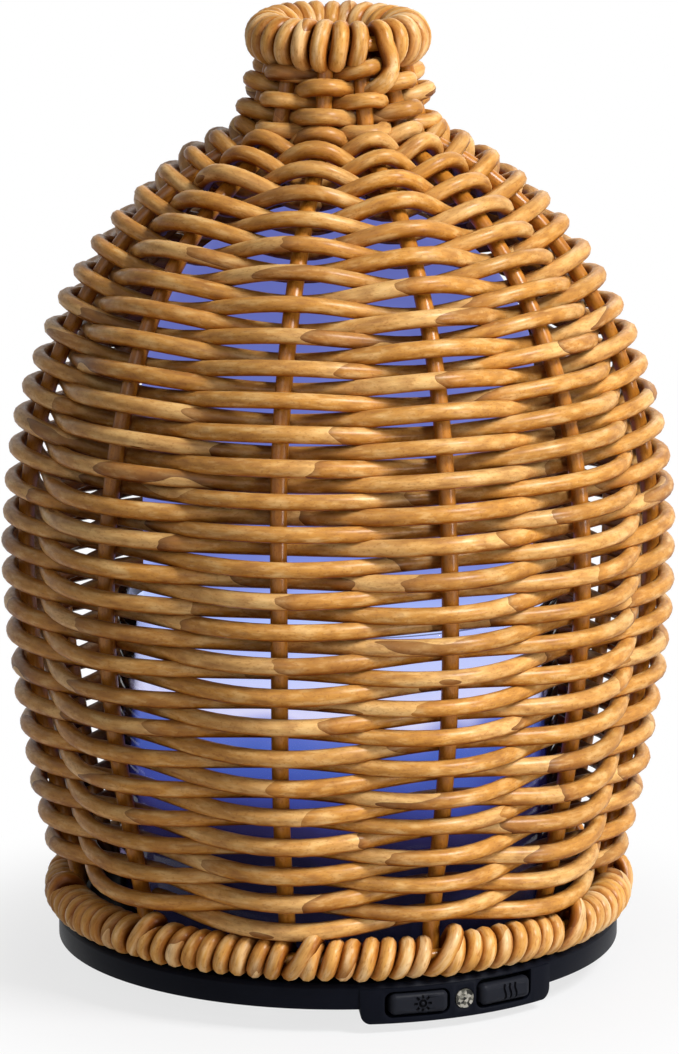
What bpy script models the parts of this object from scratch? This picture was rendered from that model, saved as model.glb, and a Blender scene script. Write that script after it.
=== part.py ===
"""Essential oil diffuser: a black base with a lit water tank, under a woven rattan cover that lifts off.

Metres, +Z up. The origin is the middle of the footprint on the table and the control tab faces -Y.
Angles are degrees round +Z, counted from the control tab and positive towards +X.
"""
import math

import bmesh
import bpy
from mathutils import Matrix, Vector

MM = 0.001

# Fits
GAP = 0.3 * MM               # between pieces that touch
WEAVE_GAP = 0.4 * MM         # between a strand and the stake it passes
RUN_GAP = 0.4 * MM           # round pieces that move

# Base: flange, band and the raised register that centres the woven cover
BASE_RADIUS = 54.9 * MM
BAND_BOTTOM = 4.9 * MM
FLANGE_TOP = 9.7 * MM
FLANGE_THICKNESS = 2.0 * MM
FLANGE_EDGE = 0.8 * MM
BAND_WALL = 3.4 * MM
REGISTER_RISE = 2.8 * MM
REGISTER_WALL = 2.0 * MM
REGISTER_CLEARANCE = 0.5 * MM
EYE_LAND = 2.1 * MM          # the rim round the eye that the tank stands on
BASE_STEPS = 40

# Control tab
TAB_HALF_LENGTH = 20.3 * MM   # along the edge of the base
TAB_BOTTOM = 2.0 * MM
TAB_DEPTH = 9.4 * MM
TAB_PROUD = 0.3 * MM
TAB_WALL = 1.7 * MM
TAB_FLOOR = 1.0 * MM
TAB_SIDE_ANGLE = 2.0
TAB_CORNER = 2.2 * MM
TAB_NOTCH_ANGLE = 1.0        # room beside the tab in the bottom cover
TAB_STEPS = 6
BUTTON_OFFSET = 9.1 * MM      # along the edge of the base, from the lens to the middle of a button
BUTTON_WIDTH = 11.4 * MM
BUTTON_HEIGHT = 4.2 * MM
BUTTON_CENTRE_Z = 5.6 * MM
BUTTON_PROUD = 0.4 * MM
BUTTON_CORNER = 1.2 * MM
BUTTON_FLANGE = 0.4 * MM
BUTTON_FLANGE_THICKNESS = 0.8 * MM
BUTTON_TRAVEL = 0.8 * MM
BUTTON_STEM_RADIUS = 1.0 * MM
LENS_RADIUS = 1.9 * MM
LENS_LENGTH = 2.6 * MM
LENS_FACE_RADIUS = 1.33 * MM
LENS_FACE_RISE = 0.66 * MM
LENS_EDGE_RISE = 0.44 * MM
SWITCH_BOARD_WIDTH = 24.0 * MM
SWITCH_BOARD_HEIGHT = 4.6 * MM
BOARD_THICKNESS = 1.6 * MM

# Bottom cover, feet and screws
COVER_PLATE_THICKNESS = 1.5 * MM
FOOT_RADIUS = 5.0 * MM
FOOT_TAPER = 0.7 * MM
FOOT_INSET = 18.5 * MM        # from the band's inner wall to the middle of a foot
FOOT_ANGLES = (0, 90, 180, 270)
SCREW_INSET = 8.5 * MM        # from the band's inner wall to the middle of a screw
SCREW_ANGLES = (45, 135, 225, 315)
SCREW_RADIUS = 1.2 * MM
SCREW_HEAD_RADIUS = 2.4 * MM
SCREW_HEAD_HEIGHT = 1.2 * MM
BOSS_WALL = 1.6 * MM
SLOT_COUNT = 5
SLOT_WIDTH = 2.0 * MM
SLOT_LENGTH = 20.0 * MM
SLOT_PITCH = 4.4 * MM

# Fan under the tank, on the right
FAN_MARGIN = 7.5 * MM         # how much smaller than the eye's radius the fan is
FAN_EDGE_ROOM = 3.0 * MM      # from the fan to the rim of the eye
FAN_HEIGHT = 8.0 * MM
FAN_RIM = 1.5 * MM
FAN_HUB_RADIUS = 5.0 * MM
FAN_PIN_RADIUS = 0.8 * MM
FAN_BAR_WIDTH = 4.0 * MM
FAN_BAR_THICKNESS = 1.2 * MM
FAN_BLADES = 5
FAN_BLADE_THICKNESS = 0.9 * MM
FAN_BLADE_PITCH = 38
FAN_BLADE_SHARE = 0.9         # of the rotor's height

# Main board, on posts on the left
MAIN_BOARD_X = -20.0 * MM
MAIN_BOARD_WIDTH = 30.0 * MM
MAIN_BOARD_LENGTH = 46.0 * MM
POST_RADIUS = 2.0 * MM
POST_HEIGHT = 1.4 * MM
POST_INSET = 4.0 * MM

# Power jack at the rear
JACK_Z = 7.3 * MM
JACK_RADIUS = 1.75 * MM
JACK_BORE = 1.1 * MM
JACK_LENGTH = 12.0 * MM
JACK_BORE_DEPTH = 9.0 * MM

# Water tank, clear sleeve and lid
SLEEVE_INSET = 12.0 * MM      # from the outside of the base to the outside of the sleeve
SLEEVE_WALL = 2.0 * MM
SLEEVE_TOP = 73.0 * MM
TANK_WALL = 2.0 * MM
TANK_TOP = 68.0 * MM
TANK_FLOOR_TOP = 46.0 * MM
TANK_FLOOR_DIP = 2.0 * MM
TANK_FLOOR_THICKNESS = 2.0 * MM
WELL_RADIUS = 7.6 * MM
PIPE_RADIUS = 4.0 * MM
PIPE_WALL = 1.2 * MM
PIPE_TOP = 72.0 * MM
PIPE_INSET = 12.6 * MM        # from the tank's inner wall to the middle of the air pipe
TANK_STEPS = 24
LID_INSET = 2.8 * MM          # from the outside of the tank to the outside of the lid
LID_WALL = 1.8 * MM
LID_SKIRT = 6.0 * MM
LID_LEDGE_THICKNESS = 1.6 * MM
LID_SHOULDER_DROP = 69.2 * MM  # from the top of the cover down to the lid's shoulder
LID_DOME_RISE = 33.0 * MM
SPOUT_RADIUS = 6.5 * MM
SPOUT_WALL = 1.5 * MM
SPOUT_DROP = 29.2 * MM        # from the top of the cover down to the spout
DOME_STEPS = 4

# Ultrasonic disc, clamped under the tank floor, and the light board round it
DISC_RADIUS = 10.0 * MM
DISC_THICKNESS = 0.8 * MM
SEAL_THICKNESS = 1.4 * MM
CLAMP_WALL = 3.0 * MM
CLAMP_FLOOR = 1.5 * MM
LIGHT_BOARD_INSET = 4.6 * MM  # from the tank's inner wall to the light board
ROUND_STEPS = 16
SMALL_ROUND_STEPS = 12
PIN_STEPS = 8

# Woven cover: stakes, weaving strands and wrapped borders
FOOT_WALL_INSET = 2.2 * MM    # from the middle of the foot ring to the foot of the wall
BELLY_OVERHANG = 5.7 * MM     # from the outside of the base to the wall's middle line at the belly
NECK_WALL_RADIUS = 13.0 * MM
NECK_FLARE = 3.0 * MM
NECK_FLARE_HEIGHT = 11.0 * MM
BELLY_Z = 84.0 * MM
DOME_DROP = 21.2 * MM         # from the top of the cover down to the point where the dome would close
COVER_TOP = 185.2 * MM
NECK_BLEND = 6
STAKE_ANGLES = (-107.0, -71.0, -36.0, -5.5, 23.5, 58.5, 90.9, 123.3, 155.7, 188.2, 220.6)
STAKE_RADIUS = 1.6 * MM
STAKE_POINTS = 15
WALL_SAMPLES = 600
NECK_THINNING = 0.72
THINNING_SHARE = 0.3
STRAND_HALF = 1.6 * MM
ROW_COUNT = 44
STRAND_COUNT = 16
STAKE_LAND = 2.2 * MM        # half the length over which a strand lies flat on a stake
STRAND_END_STEP = 0.9 * MM   # half the space between the end of one strand and the start of the next
STRAND_END_REACH = 1.5       # how far a strand's end lies flat, in lands
FOOT_RING_INSET = 1.3 * MM    # from the outside of the base to the middle of the foot ring
FOOT_WRAPS = 54
FOOT_WRAP_RADIUS = 1.45 * MM
NECK_RING_RADIUS = 13.4 * MM
NECK_WRAPS = 21
NECK_WRAP_RADIUS = 1.2 * MM
CORE_RADIUS = 0.85 * MM
FOOT_CORE_STEPS = 40
NECK_CORE_STEPS = 16
WRAP_POINTS = 8
WRAP_START_ANGLE = 180.0

# Sizes that follow from those above
FOOT_RING_RADIUS = BASE_RADIUS - FOOT_RING_INSET
FOOT_WALL_RADIUS = FOOT_RING_RADIUS - FOOT_WALL_INSET
BELLY_WALL_RADIUS = BASE_RADIUS + BELLY_OVERHANG
DOME_RISE = COVER_TOP - DOME_DROP - BELLY_Z
WRAP_CHORD = math.cos(math.pi / WRAP_POINTS)
FOOT_WRAP_CIRCLE = (CORE_RADIUS + GAP + FOOT_WRAP_RADIUS) / WRAP_CHORD
NECK_WRAP_CIRCLE = (CORE_RADIUS + GAP + NECK_WRAP_RADIUS) / WRAP_CHORD
FOOT_RING_HALF = FOOT_WRAP_CIRCLE + FOOT_WRAP_RADIUS
NECK_RING_HALF = NECK_WRAP_CIRCLE + NECK_WRAP_RADIUS
FOOT_RING_Z = FLANGE_TOP + GAP + FOOT_RING_HALF
NECK_RING_Z = COVER_TOP - NECK_RING_HALF
STAKE_FOOT_Z = FOOT_RING_Z + FOOT_RING_HALF + WEAVE_GAP
STAKE_TOP_Z = NECK_RING_Z - NECK_RING_HALF - WEAVE_GAP
REGISTER_RADIUS = FOOT_RING_RADIUS - FOOT_RING_HALF - REGISTER_CLEARANCE
REGISTER_TOP = FLANGE_TOP + REGISTER_RISE
FLANGE_UNDER = FLANGE_TOP - FLANGE_THICKNESS
REGISTER_UNDER = REGISTER_TOP - FLANGE_THICKNESS
BAND_INNER = BASE_RADIUS - BAND_WALL
TAB_INNER = BASE_RADIUS - TAB_DEPTH
TAB_HALF_ANGLE = math.degrees(TAB_HALF_LENGTH / BASE_RADIUS)
BUTTON_ANGLE = math.degrees(BUTTON_OFFSET / BASE_RADIUS)
CHAMBER_OUTER = BASE_RADIUS - TAB_WALL
FOOT_CIRCLE = BAND_INNER - FOOT_INSET
SCREW_CIRCLE = BAND_INNER - SCREW_INSET
PLATE_BOTTOM = BAND_BOTTOM + GAP
PLATE_TOP = PLATE_BOTTOM + COVER_PLATE_THICKNESS
SLEEVE_RADIUS = BASE_RADIUS - SLEEVE_INSET
TANK_RADIUS = SLEEVE_RADIUS - SLEEVE_WALL - GAP
TANK_INNER = TANK_RADIUS - TANK_WALL
EYE_RADIUS = TANK_INNER - EYE_LAND
PIPE_CIRCLE = TANK_INNER - PIPE_INSET
LIGHT_BOARD_RADIUS = TANK_INNER - LIGHT_BOARD_INSET
LID_RADIUS = TANK_RADIUS - LID_INSET
LID_SHOULDER_Z = COVER_TOP - LID_SHOULDER_DROP
SPOUT_TOP = COVER_TOP - SPOUT_DROP
TANK_FOOT = REGISTER_TOP + GAP
TANK_FLOOR_UNDER = TANK_FLOOR_TOP - TANK_FLOOR_DIP - TANK_FLOOR_THICKNESS
LID_BOTTOM = TANK_TOP - LID_SKIRT
FAN_SIDE = EYE_RADIUS - FAN_MARGIN
FAN_X = EYE_RADIUS - FAN_EDGE_ROOM - FAN_SIDE / 2
FAN_BORE = FAN_SIDE / 2 - FAN_RIM
FAN_BOTTOM = PLATE_TOP + GAP

materials = {}


def clear_scene():
    for item in list(bpy.data.objects):
        bpy.data.objects.remove(item)


def make_material(name, colour, roughness, metallic=0.0, alpha=1.0):
    material = bpy.data.materials.new(name)
    material.use_nodes = True
    shader = material.node_tree.nodes["Principled BSDF"]
    shader.inputs["Base Color"].default_value = (*colour, 1.0)
    shader.inputs["Roughness"].default_value = roughness
    shader.inputs["Metallic"].default_value = metallic
    shader.inputs["Alpha"].default_value = alpha
    materials[name] = material


def make_collection(name):
    collection = bpy.data.collections.new(name)
    bpy.context.scene.collection.children.link(collection)
    return collection


def polar(radius, angle, z):
    turn = math.radians(angle)
    return Vector((radius * math.sin(turn), -radius * math.cos(turn), z))


def add_object(name, data, material, collection):
    data.materials.append(materials[material])
    piece = bpy.data.objects.new(name, data)
    collection.objects.link(piece)
    return piece


def smooth(mesh, angle=40):
    mesh.shade_smooth()
    mesh.set_sharp_from_angle(angle=math.radians(angle))


def add_part(name, mesh, material):
    smooth(mesh)
    return add_object(name, mesh, material, parts)


def add_cutter(name, mesh):
    cutter = add_object(name, mesh, "black plastic", cutters)
    cutter.hide_render = True
    cutter.display_type = "WIRE"
    return cutter


def boolean(piece, tool, operation):
    modifier = piece.modifiers.new(tool.name, "BOOLEAN")
    modifier.operation = operation
    modifier.object = tool


def turned_mesh(name, outline, steps, closed=True):
    """A profile of (radius, z) points, running down its outer side, turned round Z."""
    mesh = bpy.data.meshes.new(name)
    points = [(radius, 0, z) for radius, z in outline]
    edges = [(i, i + 1) for i in range(len(points) - 1)]
    if closed:
        edges.append((len(points) - 1, 0))
    mesh.from_pydata(points, edges, [])
    holder = bpy.data.objects.new(name, mesh)
    bpy.context.scene.collection.objects.link(holder)
    screw = holder.modifiers.new("turn", "SCREW")
    screw.steps = steps
    screw.render_steps = steps
    screw.use_merge_vertices = True
    screw.merge_threshold = 0.00001
    graph = bpy.context.evaluated_depsgraph_get()
    result = bpy.data.meshes.new_from_object(holder.evaluated_get(graph))
    bpy.data.objects.remove(holder)
    result.name = name
    return result


def cylinder_mesh(name, radius, length, sides, top_radius=None):
    """A cylinder or cone that stands on z = 0."""
    mesh = bpy.data.meshes.new(name)
    shape = bmesh.new()
    bmesh.ops.create_cone(shape, cap_ends=True, segments=sides, depth=length, radius1=radius,
                          radius2=radius if top_radius is None else top_radius,
                          matrix=Matrix.Translation((0, 0, length / 2)))
    shape.to_mesh(mesh)
    shape.free()
    return mesh


def block_mesh(name, size, corner=0.0, axis=1, segments=2):
    """A box about the origin, with the four edges along one axis rounded."""
    mesh = bpy.data.meshes.new(name)
    shape = bmesh.new()
    bmesh.ops.create_cube(shape, size=1.0, matrix=Matrix.Diagonal((*size, 1.0)))
    if corner:
        edges = [edge for edge in shape.edges
                 if abs(edge.verts[0].co[axis] - edge.verts[1].co[axis]) > size[axis] / 2]
        bmesh.ops.bevel(shape, geom=edges, offset=corner, segments=segments, affect="EDGES", profile=0.5)
    shape.to_mesh(mesh)
    shape.free()
    return mesh


def sector_mesh(name, inner, outer, half_angle, low, high, corner=0.0):
    """A stretch of a flat ring, with its two lower end edges rounded."""
    mesh = bpy.data.meshes.new(name)
    shape = bmesh.new()
    section = [polar(radius, -half_angle, z) for radius, z in
               ((inner, low), (outer, low), (outer, high), (inner, high))]
    face = shape.faces.new([shape.verts.new(point) for point in section])
    bmesh.ops.spin(shape, geom=[face], cent=(0, 0, 0), axis=(0, 0, 1), steps=TAB_STEPS,
                   angle=math.radians(2 * half_angle), use_duplicate=False)
    shape.faces.ensure_lookup_table()
    bmesh.ops.recalc_face_normals(shape, faces=shape.faces)
    if corner:
        ends = [polar(radius, side * half_angle, low) for radius in (inner, outer) for side in (-1, 1)]

        def at_end(vertex):
            return any((vertex.co - end).length < GAP / 10 for end in ends)

        edges = [edge for edge in shape.edges if at_end(edge.verts[0]) and at_end(edge.verts[1])]
        bmesh.ops.bevel(shape, geom=edges, offset=corner, segments=2, affect="EDGES", profile=0.5)
    shape.to_mesh(mesh)
    shape.free()
    return mesh


def fuse(piece, name, mesh, location=(0, 0, 0), operation="UNION", turn=None):
    """Join a shape to a piece, or cut it out, through a hidden tool."""
    tool = add_cutter(name, mesh)
    tool.location = location
    if turn:
        tool.rotation_euler = turn
    boolean(piece, tool, operation)


def tube(name, points, radius, material, sides_level=0, tilts=None, scales=None, cyclic=False):
    """A round or square rod along a chain of points."""
    curve = bpy.data.curves.new(name, "CURVE")
    curve.dimensions = "3D"
    curve.bevel_depth = radius
    curve.bevel_resolution = sides_level
    curve.use_fill_caps = not cyclic
    curve.twist_mode = "Z_UP" if tilts else "MINIMUM"
    spline = curve.splines.new("POLY")
    spline.points.add(len(points) - 1)
    for index, point in enumerate(points):
        spline.points[index].co = (*point, 1.0)
        if tilts:
            spline.points[index].tilt = tilts[index]
        if scales:
            spline.points[index].radius = scales[index]
    spline.use_cyclic_u = cyclic
    spline.use_smooth = True
    return add_object(name, curve, material, parts)


# Materials

def make_materials():
    make_material("rattan", (0.52, 0.25, 0.07), 0.45)
    make_material("stake rattan", (0.36, 0.14, 0.035), 0.35)
    make_material("black plastic", (0.012, 0.013, 0.017), 0.42)
    make_material("milky plastic", (0.72, 0.76, 0.95), 0.35)
    make_material("clear plastic", (0.85, 0.88, 0.95), 0.08, alpha=0.35)
    make_material("rubber", (0.02, 0.02, 0.02), 0.8)
    make_material("circuit board", (0.02, 0.16, 0.06), 0.5)
    make_material("steel", (0.6, 0.6, 0.6), 0.3, metallic=1.0)
    make_material("brass", (0.75, 0.55, 0.2), 0.3, metallic=1.0)


# Base

def housing():
    outline = [(REGISTER_RADIUS, REGISTER_TOP), (REGISTER_RADIUS, FLANGE_TOP),
               (BASE_RADIUS - FLANGE_EDGE, FLANGE_TOP), (BASE_RADIUS, FLANGE_TOP - FLANGE_EDGE),
               (BASE_RADIUS, BAND_BOTTOM), (BAND_INNER, BAND_BOTTOM), (BAND_INNER, FLANGE_UNDER),
               (REGISTER_RADIUS - REGISTER_WALL, FLANGE_UNDER),
               (REGISTER_RADIUS - REGISTER_WALL, REGISTER_UNDER),
               (EYE_RADIUS, REGISTER_UNDER), (EYE_RADIUS, REGISTER_TOP)]
    piece = add_part("base_housing", turned_mesh("base_housing", outline, BASE_STEPS), "black plastic")
    tab_top = FLANGE_TOP - FLANGE_EDGE - GAP / 3
    fuse(piece, "tab_body", sector_mesh("tab_body", TAB_INNER, BASE_RADIUS + TAB_PROUD, TAB_HALF_ANGLE,
                                        TAB_BOTTOM, tab_top, TAB_CORNER))
    for angle in SCREW_ANGLES:
        boss = cylinder_mesh("boss", SCREW_RADIUS + GAP + BOSS_WALL,
                             REGISTER_UNDER + FLANGE_THICKNESS / 4 - PLATE_TOP - GAP, PIN_STEPS)
        fuse(piece, "boss", boss, polar(SCREW_CIRCLE, angle, PLATE_TOP + GAP))
        pilot = cylinder_mesh("pilot", SCREW_RADIUS + GAP, REGISTER_UNDER - BAND_BOTTOM, PIN_STEPS)
        fuse(piece, "pilot", pilot, polar(SCREW_CIRCLE, angle, BAND_BOTTOM), "DIFFERENCE")
    chamber_top = FLANGE_UNDER + FLANGE_THICKNESS * 3 / 8
    chamber = sector_mesh("tab_chamber", TAB_INNER + TAB_WALL, CHAMBER_OUTER, TAB_HALF_ANGLE - TAB_SIDE_ANGLE,
                          TAB_BOTTOM + TAB_FLOOR, chamber_top)
    fuse(piece, "tab_chamber", chamber, operation="DIFFERENCE")
    lead_top = FLANGE_UNDER - GAP
    lead_way = block_mesh("lead_way", (BUTTON_WIDTH, 3 * TAB_WALL, lead_top - PLATE_BOTTOM))
    fuse(piece, "lead_way", lead_way, polar(TAB_INNER, 0, (lead_top + PLATE_BOTTOM) / 2), "DIFFERENCE")
    for side in (-1, 1):
        window = block_mesh("button_window", (BUTTON_WIDTH + 2 * RUN_GAP, 3 * TAB_WALL,
                                              BUTTON_HEIGHT + 2 * RUN_GAP), BUTTON_CORNER)
        fuse(piece, "button_window", window, polar(BASE_RADIUS, side * BUTTON_ANGLE, BUTTON_CENTRE_Z),
             "DIFFERENCE", (0, 0, math.radians(side * BUTTON_ANGLE)))
    quarter_turn = (math.pi / 2, 0, 0)
    lens_hole = cylinder_mesh("lens_hole", LENS_RADIUS + GAP, TAB_DEPTH, SMALL_ROUND_STEPS)
    lens_place = (0, TAB_WALL + TAB_PROUD - BASE_RADIUS, BUTTON_CENTRE_Z)
    fuse(piece, "lens_hole", lens_hole, lens_place, "DIFFERENCE", quarter_turn)
    jack_hole = cylinder_mesh("jack_hole", JACK_RADIUS + GAP, JACK_LENGTH + TAB_DEPTH, SMALL_ROUND_STEPS)
    fuse(piece, "jack_hole", jack_hole, (0, BASE_RADIUS + TAB_DEPTH, JACK_Z), "DIFFERENCE", quarter_turn)


def buttons():
    for name, side in (("light_button", -1), ("mist_button", 1)):
        angle = side * BUTTON_ANGLE
        face = BASE_RADIUS + TAB_PROUD + BUTTON_PROUD
        flange_half = BUTTON_WIDTH / 2 + RUN_GAP + BUTTON_FLANGE
        flange_front = math.sqrt(chamber_chord() ** 2 - flange_half ** 2) - RUN_GAP
        flange_back = flange_front - BUTTON_FLANGE_THICKNESS
        board_front = switch_board_front()
        cap = block_mesh(name, (BUTTON_WIDTH, face - flange_back, BUTTON_HEIGHT), BUTTON_CORNER)
        cap.transform(Matrix.Translation((0, -(face + flange_back) / 2, BUTTON_CENTRE_Z)))
        piece = add_part(name, cap, "black plastic")
        piece.rotation_euler = (0, 0, math.radians(angle))
        flange = block_mesh("button_flange", (2 * flange_half, BUTTON_FLANGE_THICKNESS,
                                              BUTTON_HEIGHT - BUTTON_CORNER))
        turn = (0, 0, math.radians(angle))
        fuse(piece, "button_flange", flange,
             polar((flange_front + flange_back) / 2 - BUTTON_FLANGE_THICKNESS / 4, angle, BUTTON_CENTRE_Z),
             "UNION", turn)
        lean = math.radians(BUTTON_ANGLE)
        stem_stop = (board_front + BUTTON_STEM_RADIUS * math.sin(lean)) / math.cos(lean)
        stem_end = stem_stop + BUTTON_TRAVEL + RUN_GAP
        if stem_end < flange_back:
            stem = cylinder_mesh("button_stem", BUTTON_STEM_RADIUS, flange_front - stem_end, PIN_STEPS)
            fuse(piece, "button_stem", stem, polar(flange_front, angle, BUTTON_CENTRE_Z), "UNION",
                 (-math.pi / 2, 0, math.radians(angle)))


def chamber_chord():
    """Least distance from the axis to the flat facets of the tab chamber's front wall."""
    facet = math.radians(2 * (TAB_HALF_ANGLE - TAB_SIDE_ANGLE) / TAB_STEPS)
    return CHAMBER_OUTER * math.cos(facet / 2)


def switch_board_front():
    return TAB_INNER + TAB_WALL + GAP + BOARD_THICKNESS


def switch_board():
    board = block_mesh("switch_board", (SWITCH_BOARD_WIDTH, BOARD_THICKNESS, SWITCH_BOARD_HEIGHT))
    low = TAB_BOTTOM + TAB_FLOOR + GAP
    board.transform(Matrix.Translation((0, BOARD_THICKNESS / 2 - switch_board_front(),
                                        low + SWITCH_BOARD_HEIGHT / 2)))
    add_part("switch_board", board, "circuit board")


def indicator_lens():
    outline = [(0, LENS_LENGTH + LENS_FACE_RISE), (LENS_FACE_RADIUS, LENS_LENGTH + LENS_EDGE_RISE),
               (LENS_RADIUS, LENS_LENGTH), (LENS_RADIUS, 0), (0, 0)]
    mesh = turned_mesh("indicator_lens", outline, SMALL_ROUND_STEPS, closed=False)
    back = BASE_RADIUS + TAB_PROUD - LENS_LENGTH
    mesh.transform(Matrix.Translation((0, -back, BUTTON_CENTRE_Z)) @ Matrix.Rotation(math.pi / 2, 4, "X"))
    add_part("indicator_lens", mesh, "clear plastic")


def bottom_cover():
    plate = cylinder_mesh("bottom_cover", BAND_INNER - GAP, COVER_PLATE_THICKNESS, BASE_STEPS)
    plate.transform(Matrix.Translation((0, 0, PLATE_BOTTOM)))
    piece = add_part("bottom_cover", plate, "black plastic")
    for x_side in (-1, 1):
        for y_side in (-1, 1):
            post = cylinder_mesh("post", POST_RADIUS, POST_HEIGHT + COVER_PLATE_THICKNESS / 2, PIN_STEPS)
            fuse(piece, "post", post, (MAIN_BOARD_X + x_side * (MAIN_BOARD_WIDTH / 2 - POST_INSET),
                                       y_side * (MAIN_BOARD_LENGTH / 2 - POST_INSET),
                                       PLATE_TOP - COVER_PLATE_THICKNESS / 2))
    through = (PLATE_BOTTOM + PLATE_TOP) / 2
    tab_notch = sector_mesh("tab_notch", TAB_INNER - GAP, BASE_RADIUS + TAB_DEPTH,
                            TAB_HALF_ANGLE + TAB_NOTCH_ANGLE, 0, REGISTER_TOP)
    fuse(piece, "tab_notch", tab_notch, operation="DIFFERENCE")
    jack_notch = block_mesh("jack_notch", (2 * (JACK_RADIUS + GAP), JACK_LENGTH + BAND_WALL, JACK_Z))
    fuse(piece, "jack_notch", jack_notch, (0, BASE_RADIUS - (JACK_LENGTH + BAND_WALL) / 2 + GAP, through),
         "DIFFERENCE")
    for angle in SCREW_ANGLES:
        hole = cylinder_mesh("screw_hole", SCREW_RADIUS + GAP, COVER_PLATE_THICKNESS * 2, PIN_STEPS)
        fuse(piece, "screw_hole", hole, polar(SCREW_CIRCLE, angle, through - COVER_PLATE_THICKNESS),
             "DIFFERENCE")
    for index in range(SLOT_COUNT):
        slot = block_mesh("air_slot", (SLOT_WIDTH, SLOT_LENGTH, COVER_PLATE_THICKNESS * 2))
        x = FAN_X + (index - (SLOT_COUNT - 1) / 2) * SLOT_PITCH
        fuse(piece, "air_slot", slot, (x, 0, through), "DIFFERENCE")


def feet_and_screws():
    for index, angle in enumerate(FOOT_ANGLES):
        foot = cylinder_mesh("foot", FOOT_RADIUS - FOOT_TAPER, PLATE_BOTTOM - GAP, SMALL_ROUND_STEPS,
                             FOOT_RADIUS)
        piece = add_part(f"foot_{index + 1}", foot, "rubber")
        piece.location = polar(FOOT_CIRCLE, angle, 0)
    for index, angle in enumerate(SCREW_ANGLES):
        head_top = PLATE_BOTTOM - GAP
        shank_top = REGISTER_UNDER - 2 * GAP
        outline = [(0, shank_top), (SCREW_RADIUS, shank_top), (SCREW_RADIUS, head_top),
                   (SCREW_HEAD_RADIUS, head_top), (SCREW_HEAD_RADIUS, head_top - SCREW_HEAD_HEIGHT / 2),
                   (SCREW_HEAD_RADIUS / 2, head_top - SCREW_HEAD_HEIGHT), (0, head_top - SCREW_HEAD_HEIGHT)]
        screw = turned_mesh("screw", outline, PIN_STEPS, closed=False)
        piece = add_part(f"screw_{index + 1}", screw, "steel")
        piece.location = polar(SCREW_CIRCLE, angle, 0)


def fan():
    middle = FAN_BOTTOM + FAN_HEIGHT / 2
    frame = block_mesh("fan_frame", (FAN_SIDE, FAN_SIDE, FAN_HEIGHT), FAN_SIDE / 10, 2)
    piece = add_part("fan_frame", frame, "black plastic")
    piece.location = (FAN_X, 0, middle)
    bore = cylinder_mesh("fan_bore", FAN_BORE + RUN_GAP, FAN_HEIGHT * 2, ROUND_STEPS)
    fuse(piece, "fan_bore", bore, (FAN_X, 0, middle - FAN_HEIGHT), "DIFFERENCE")
    bar = block_mesh("fan_bar", (2 * FAN_BORE + FAN_SIDE / 15, FAN_BAR_WIDTH, FAN_BAR_THICKNESS))
    fuse(piece, "fan_bar", bar, (FAN_X, 0, FAN_BOTTOM + FAN_BAR_THICKNESS / 2))
    pin = cylinder_mesh("fan_pin", FAN_PIN_RADIUS, FAN_HEIGHT / 2, PIN_STEPS)
    fuse(piece, "fan_pin", pin, (FAN_X, 0, FAN_BOTTOM + FAN_BAR_THICKNESS / 2))

    low = FAN_BOTTOM + FAN_BAR_THICKNESS + RUN_GAP
    high = FAN_BOTTOM + FAN_HEIGHT - RUN_GAP
    socket = FAN_PIN_RADIUS + RUN_GAP
    socket_top = FAN_BOTTOM + FAN_BAR_THICKNESS / 2 + FAN_HEIGHT / 2 + RUN_GAP
    outline = [(0, high), (FAN_HUB_RADIUS, high), (FAN_HUB_RADIUS, low), (socket, low), (socket, socket_top),
               (0, socket_top)]
    hub = turned_mesh("fan_rotor", outline, ROUND_STEPS, closed=False)
    rotor = add_part("fan_rotor", hub, "black plastic")
    rotor.location = (FAN_X, 0, 0)
    span = FAN_BORE - FAN_HUB_RADIUS / 2
    lean = math.radians(FAN_BLADE_PITCH)
    chord = (high - low) * FAN_BLADE_SHARE / math.cos(lean)
    for index in range(FAN_BLADES):
        blade = block_mesh("blade", (span, FAN_BLADE_THICKNESS, chord))
        blade.transform(Matrix.Rotation(lean, 4, "X"))
        blade.transform(Matrix.Translation((FAN_HUB_RADIUS / 2 + span / 2, 0, (low + high) / 2)))
        fuse(rotor, "blade", blade, (FAN_X, 0, 0), "UNION", (0, 0, 2 * math.pi * index / FAN_BLADES))
    rim = turned_mesh("blade_trim", [(FAN_SIDE, high + FAN_HEIGHT), (FAN_SIDE, low - FAN_HEIGHT),
                                     (FAN_BORE - RUN_GAP, low - FAN_HEIGHT),
                                     (FAN_BORE - RUN_GAP, high + FAN_HEIGHT)], ROUND_STEPS)
    fuse(rotor, "blade_trim", rim, (FAN_X, 0, 0), "DIFFERENCE")


def main_board():
    board = block_mesh("main_board", (MAIN_BOARD_WIDTH, MAIN_BOARD_LENGTH, BOARD_THICKNESS))
    low = PLATE_TOP + POST_HEIGHT + GAP
    board.transform(Matrix.Translation((MAIN_BOARD_X, 0, low + BOARD_THICKNESS / 2)))
    add_part("main_board", board, "circuit board")


def power_jack():
    bore_end = JACK_LENGTH - JACK_BORE_DEPTH
    outline = [(0, bore_end), (JACK_BORE, bore_end), (JACK_BORE, JACK_LENGTH), (JACK_RADIUS, JACK_LENGTH),
               (JACK_RADIUS, 0), (0, 0)]
    mesh = turned_mesh("power_jack", outline, SMALL_ROUND_STEPS, closed=False)
    back = BASE_RADIUS - JACK_LENGTH - GAP
    mesh.transform(Matrix.Translation((0, back, JACK_Z)) @ Matrix.Rotation(-math.pi / 2, 4, "X"))
    add_part("power_jack", mesh, "steel")


# Tank, lid and mist maker

def clear_sleeve():
    outline = [(SLEEVE_RADIUS, SLEEVE_TOP), (SLEEVE_RADIUS, TANK_FOOT),
               (SLEEVE_RADIUS - SLEEVE_WALL, TANK_FOOT), (SLEEVE_RADIUS - SLEEVE_WALL, SLEEVE_TOP)]
    add_part("clear_sleeve", turned_mesh("clear_sleeve", outline, TANK_STEPS), "clear plastic")


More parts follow.
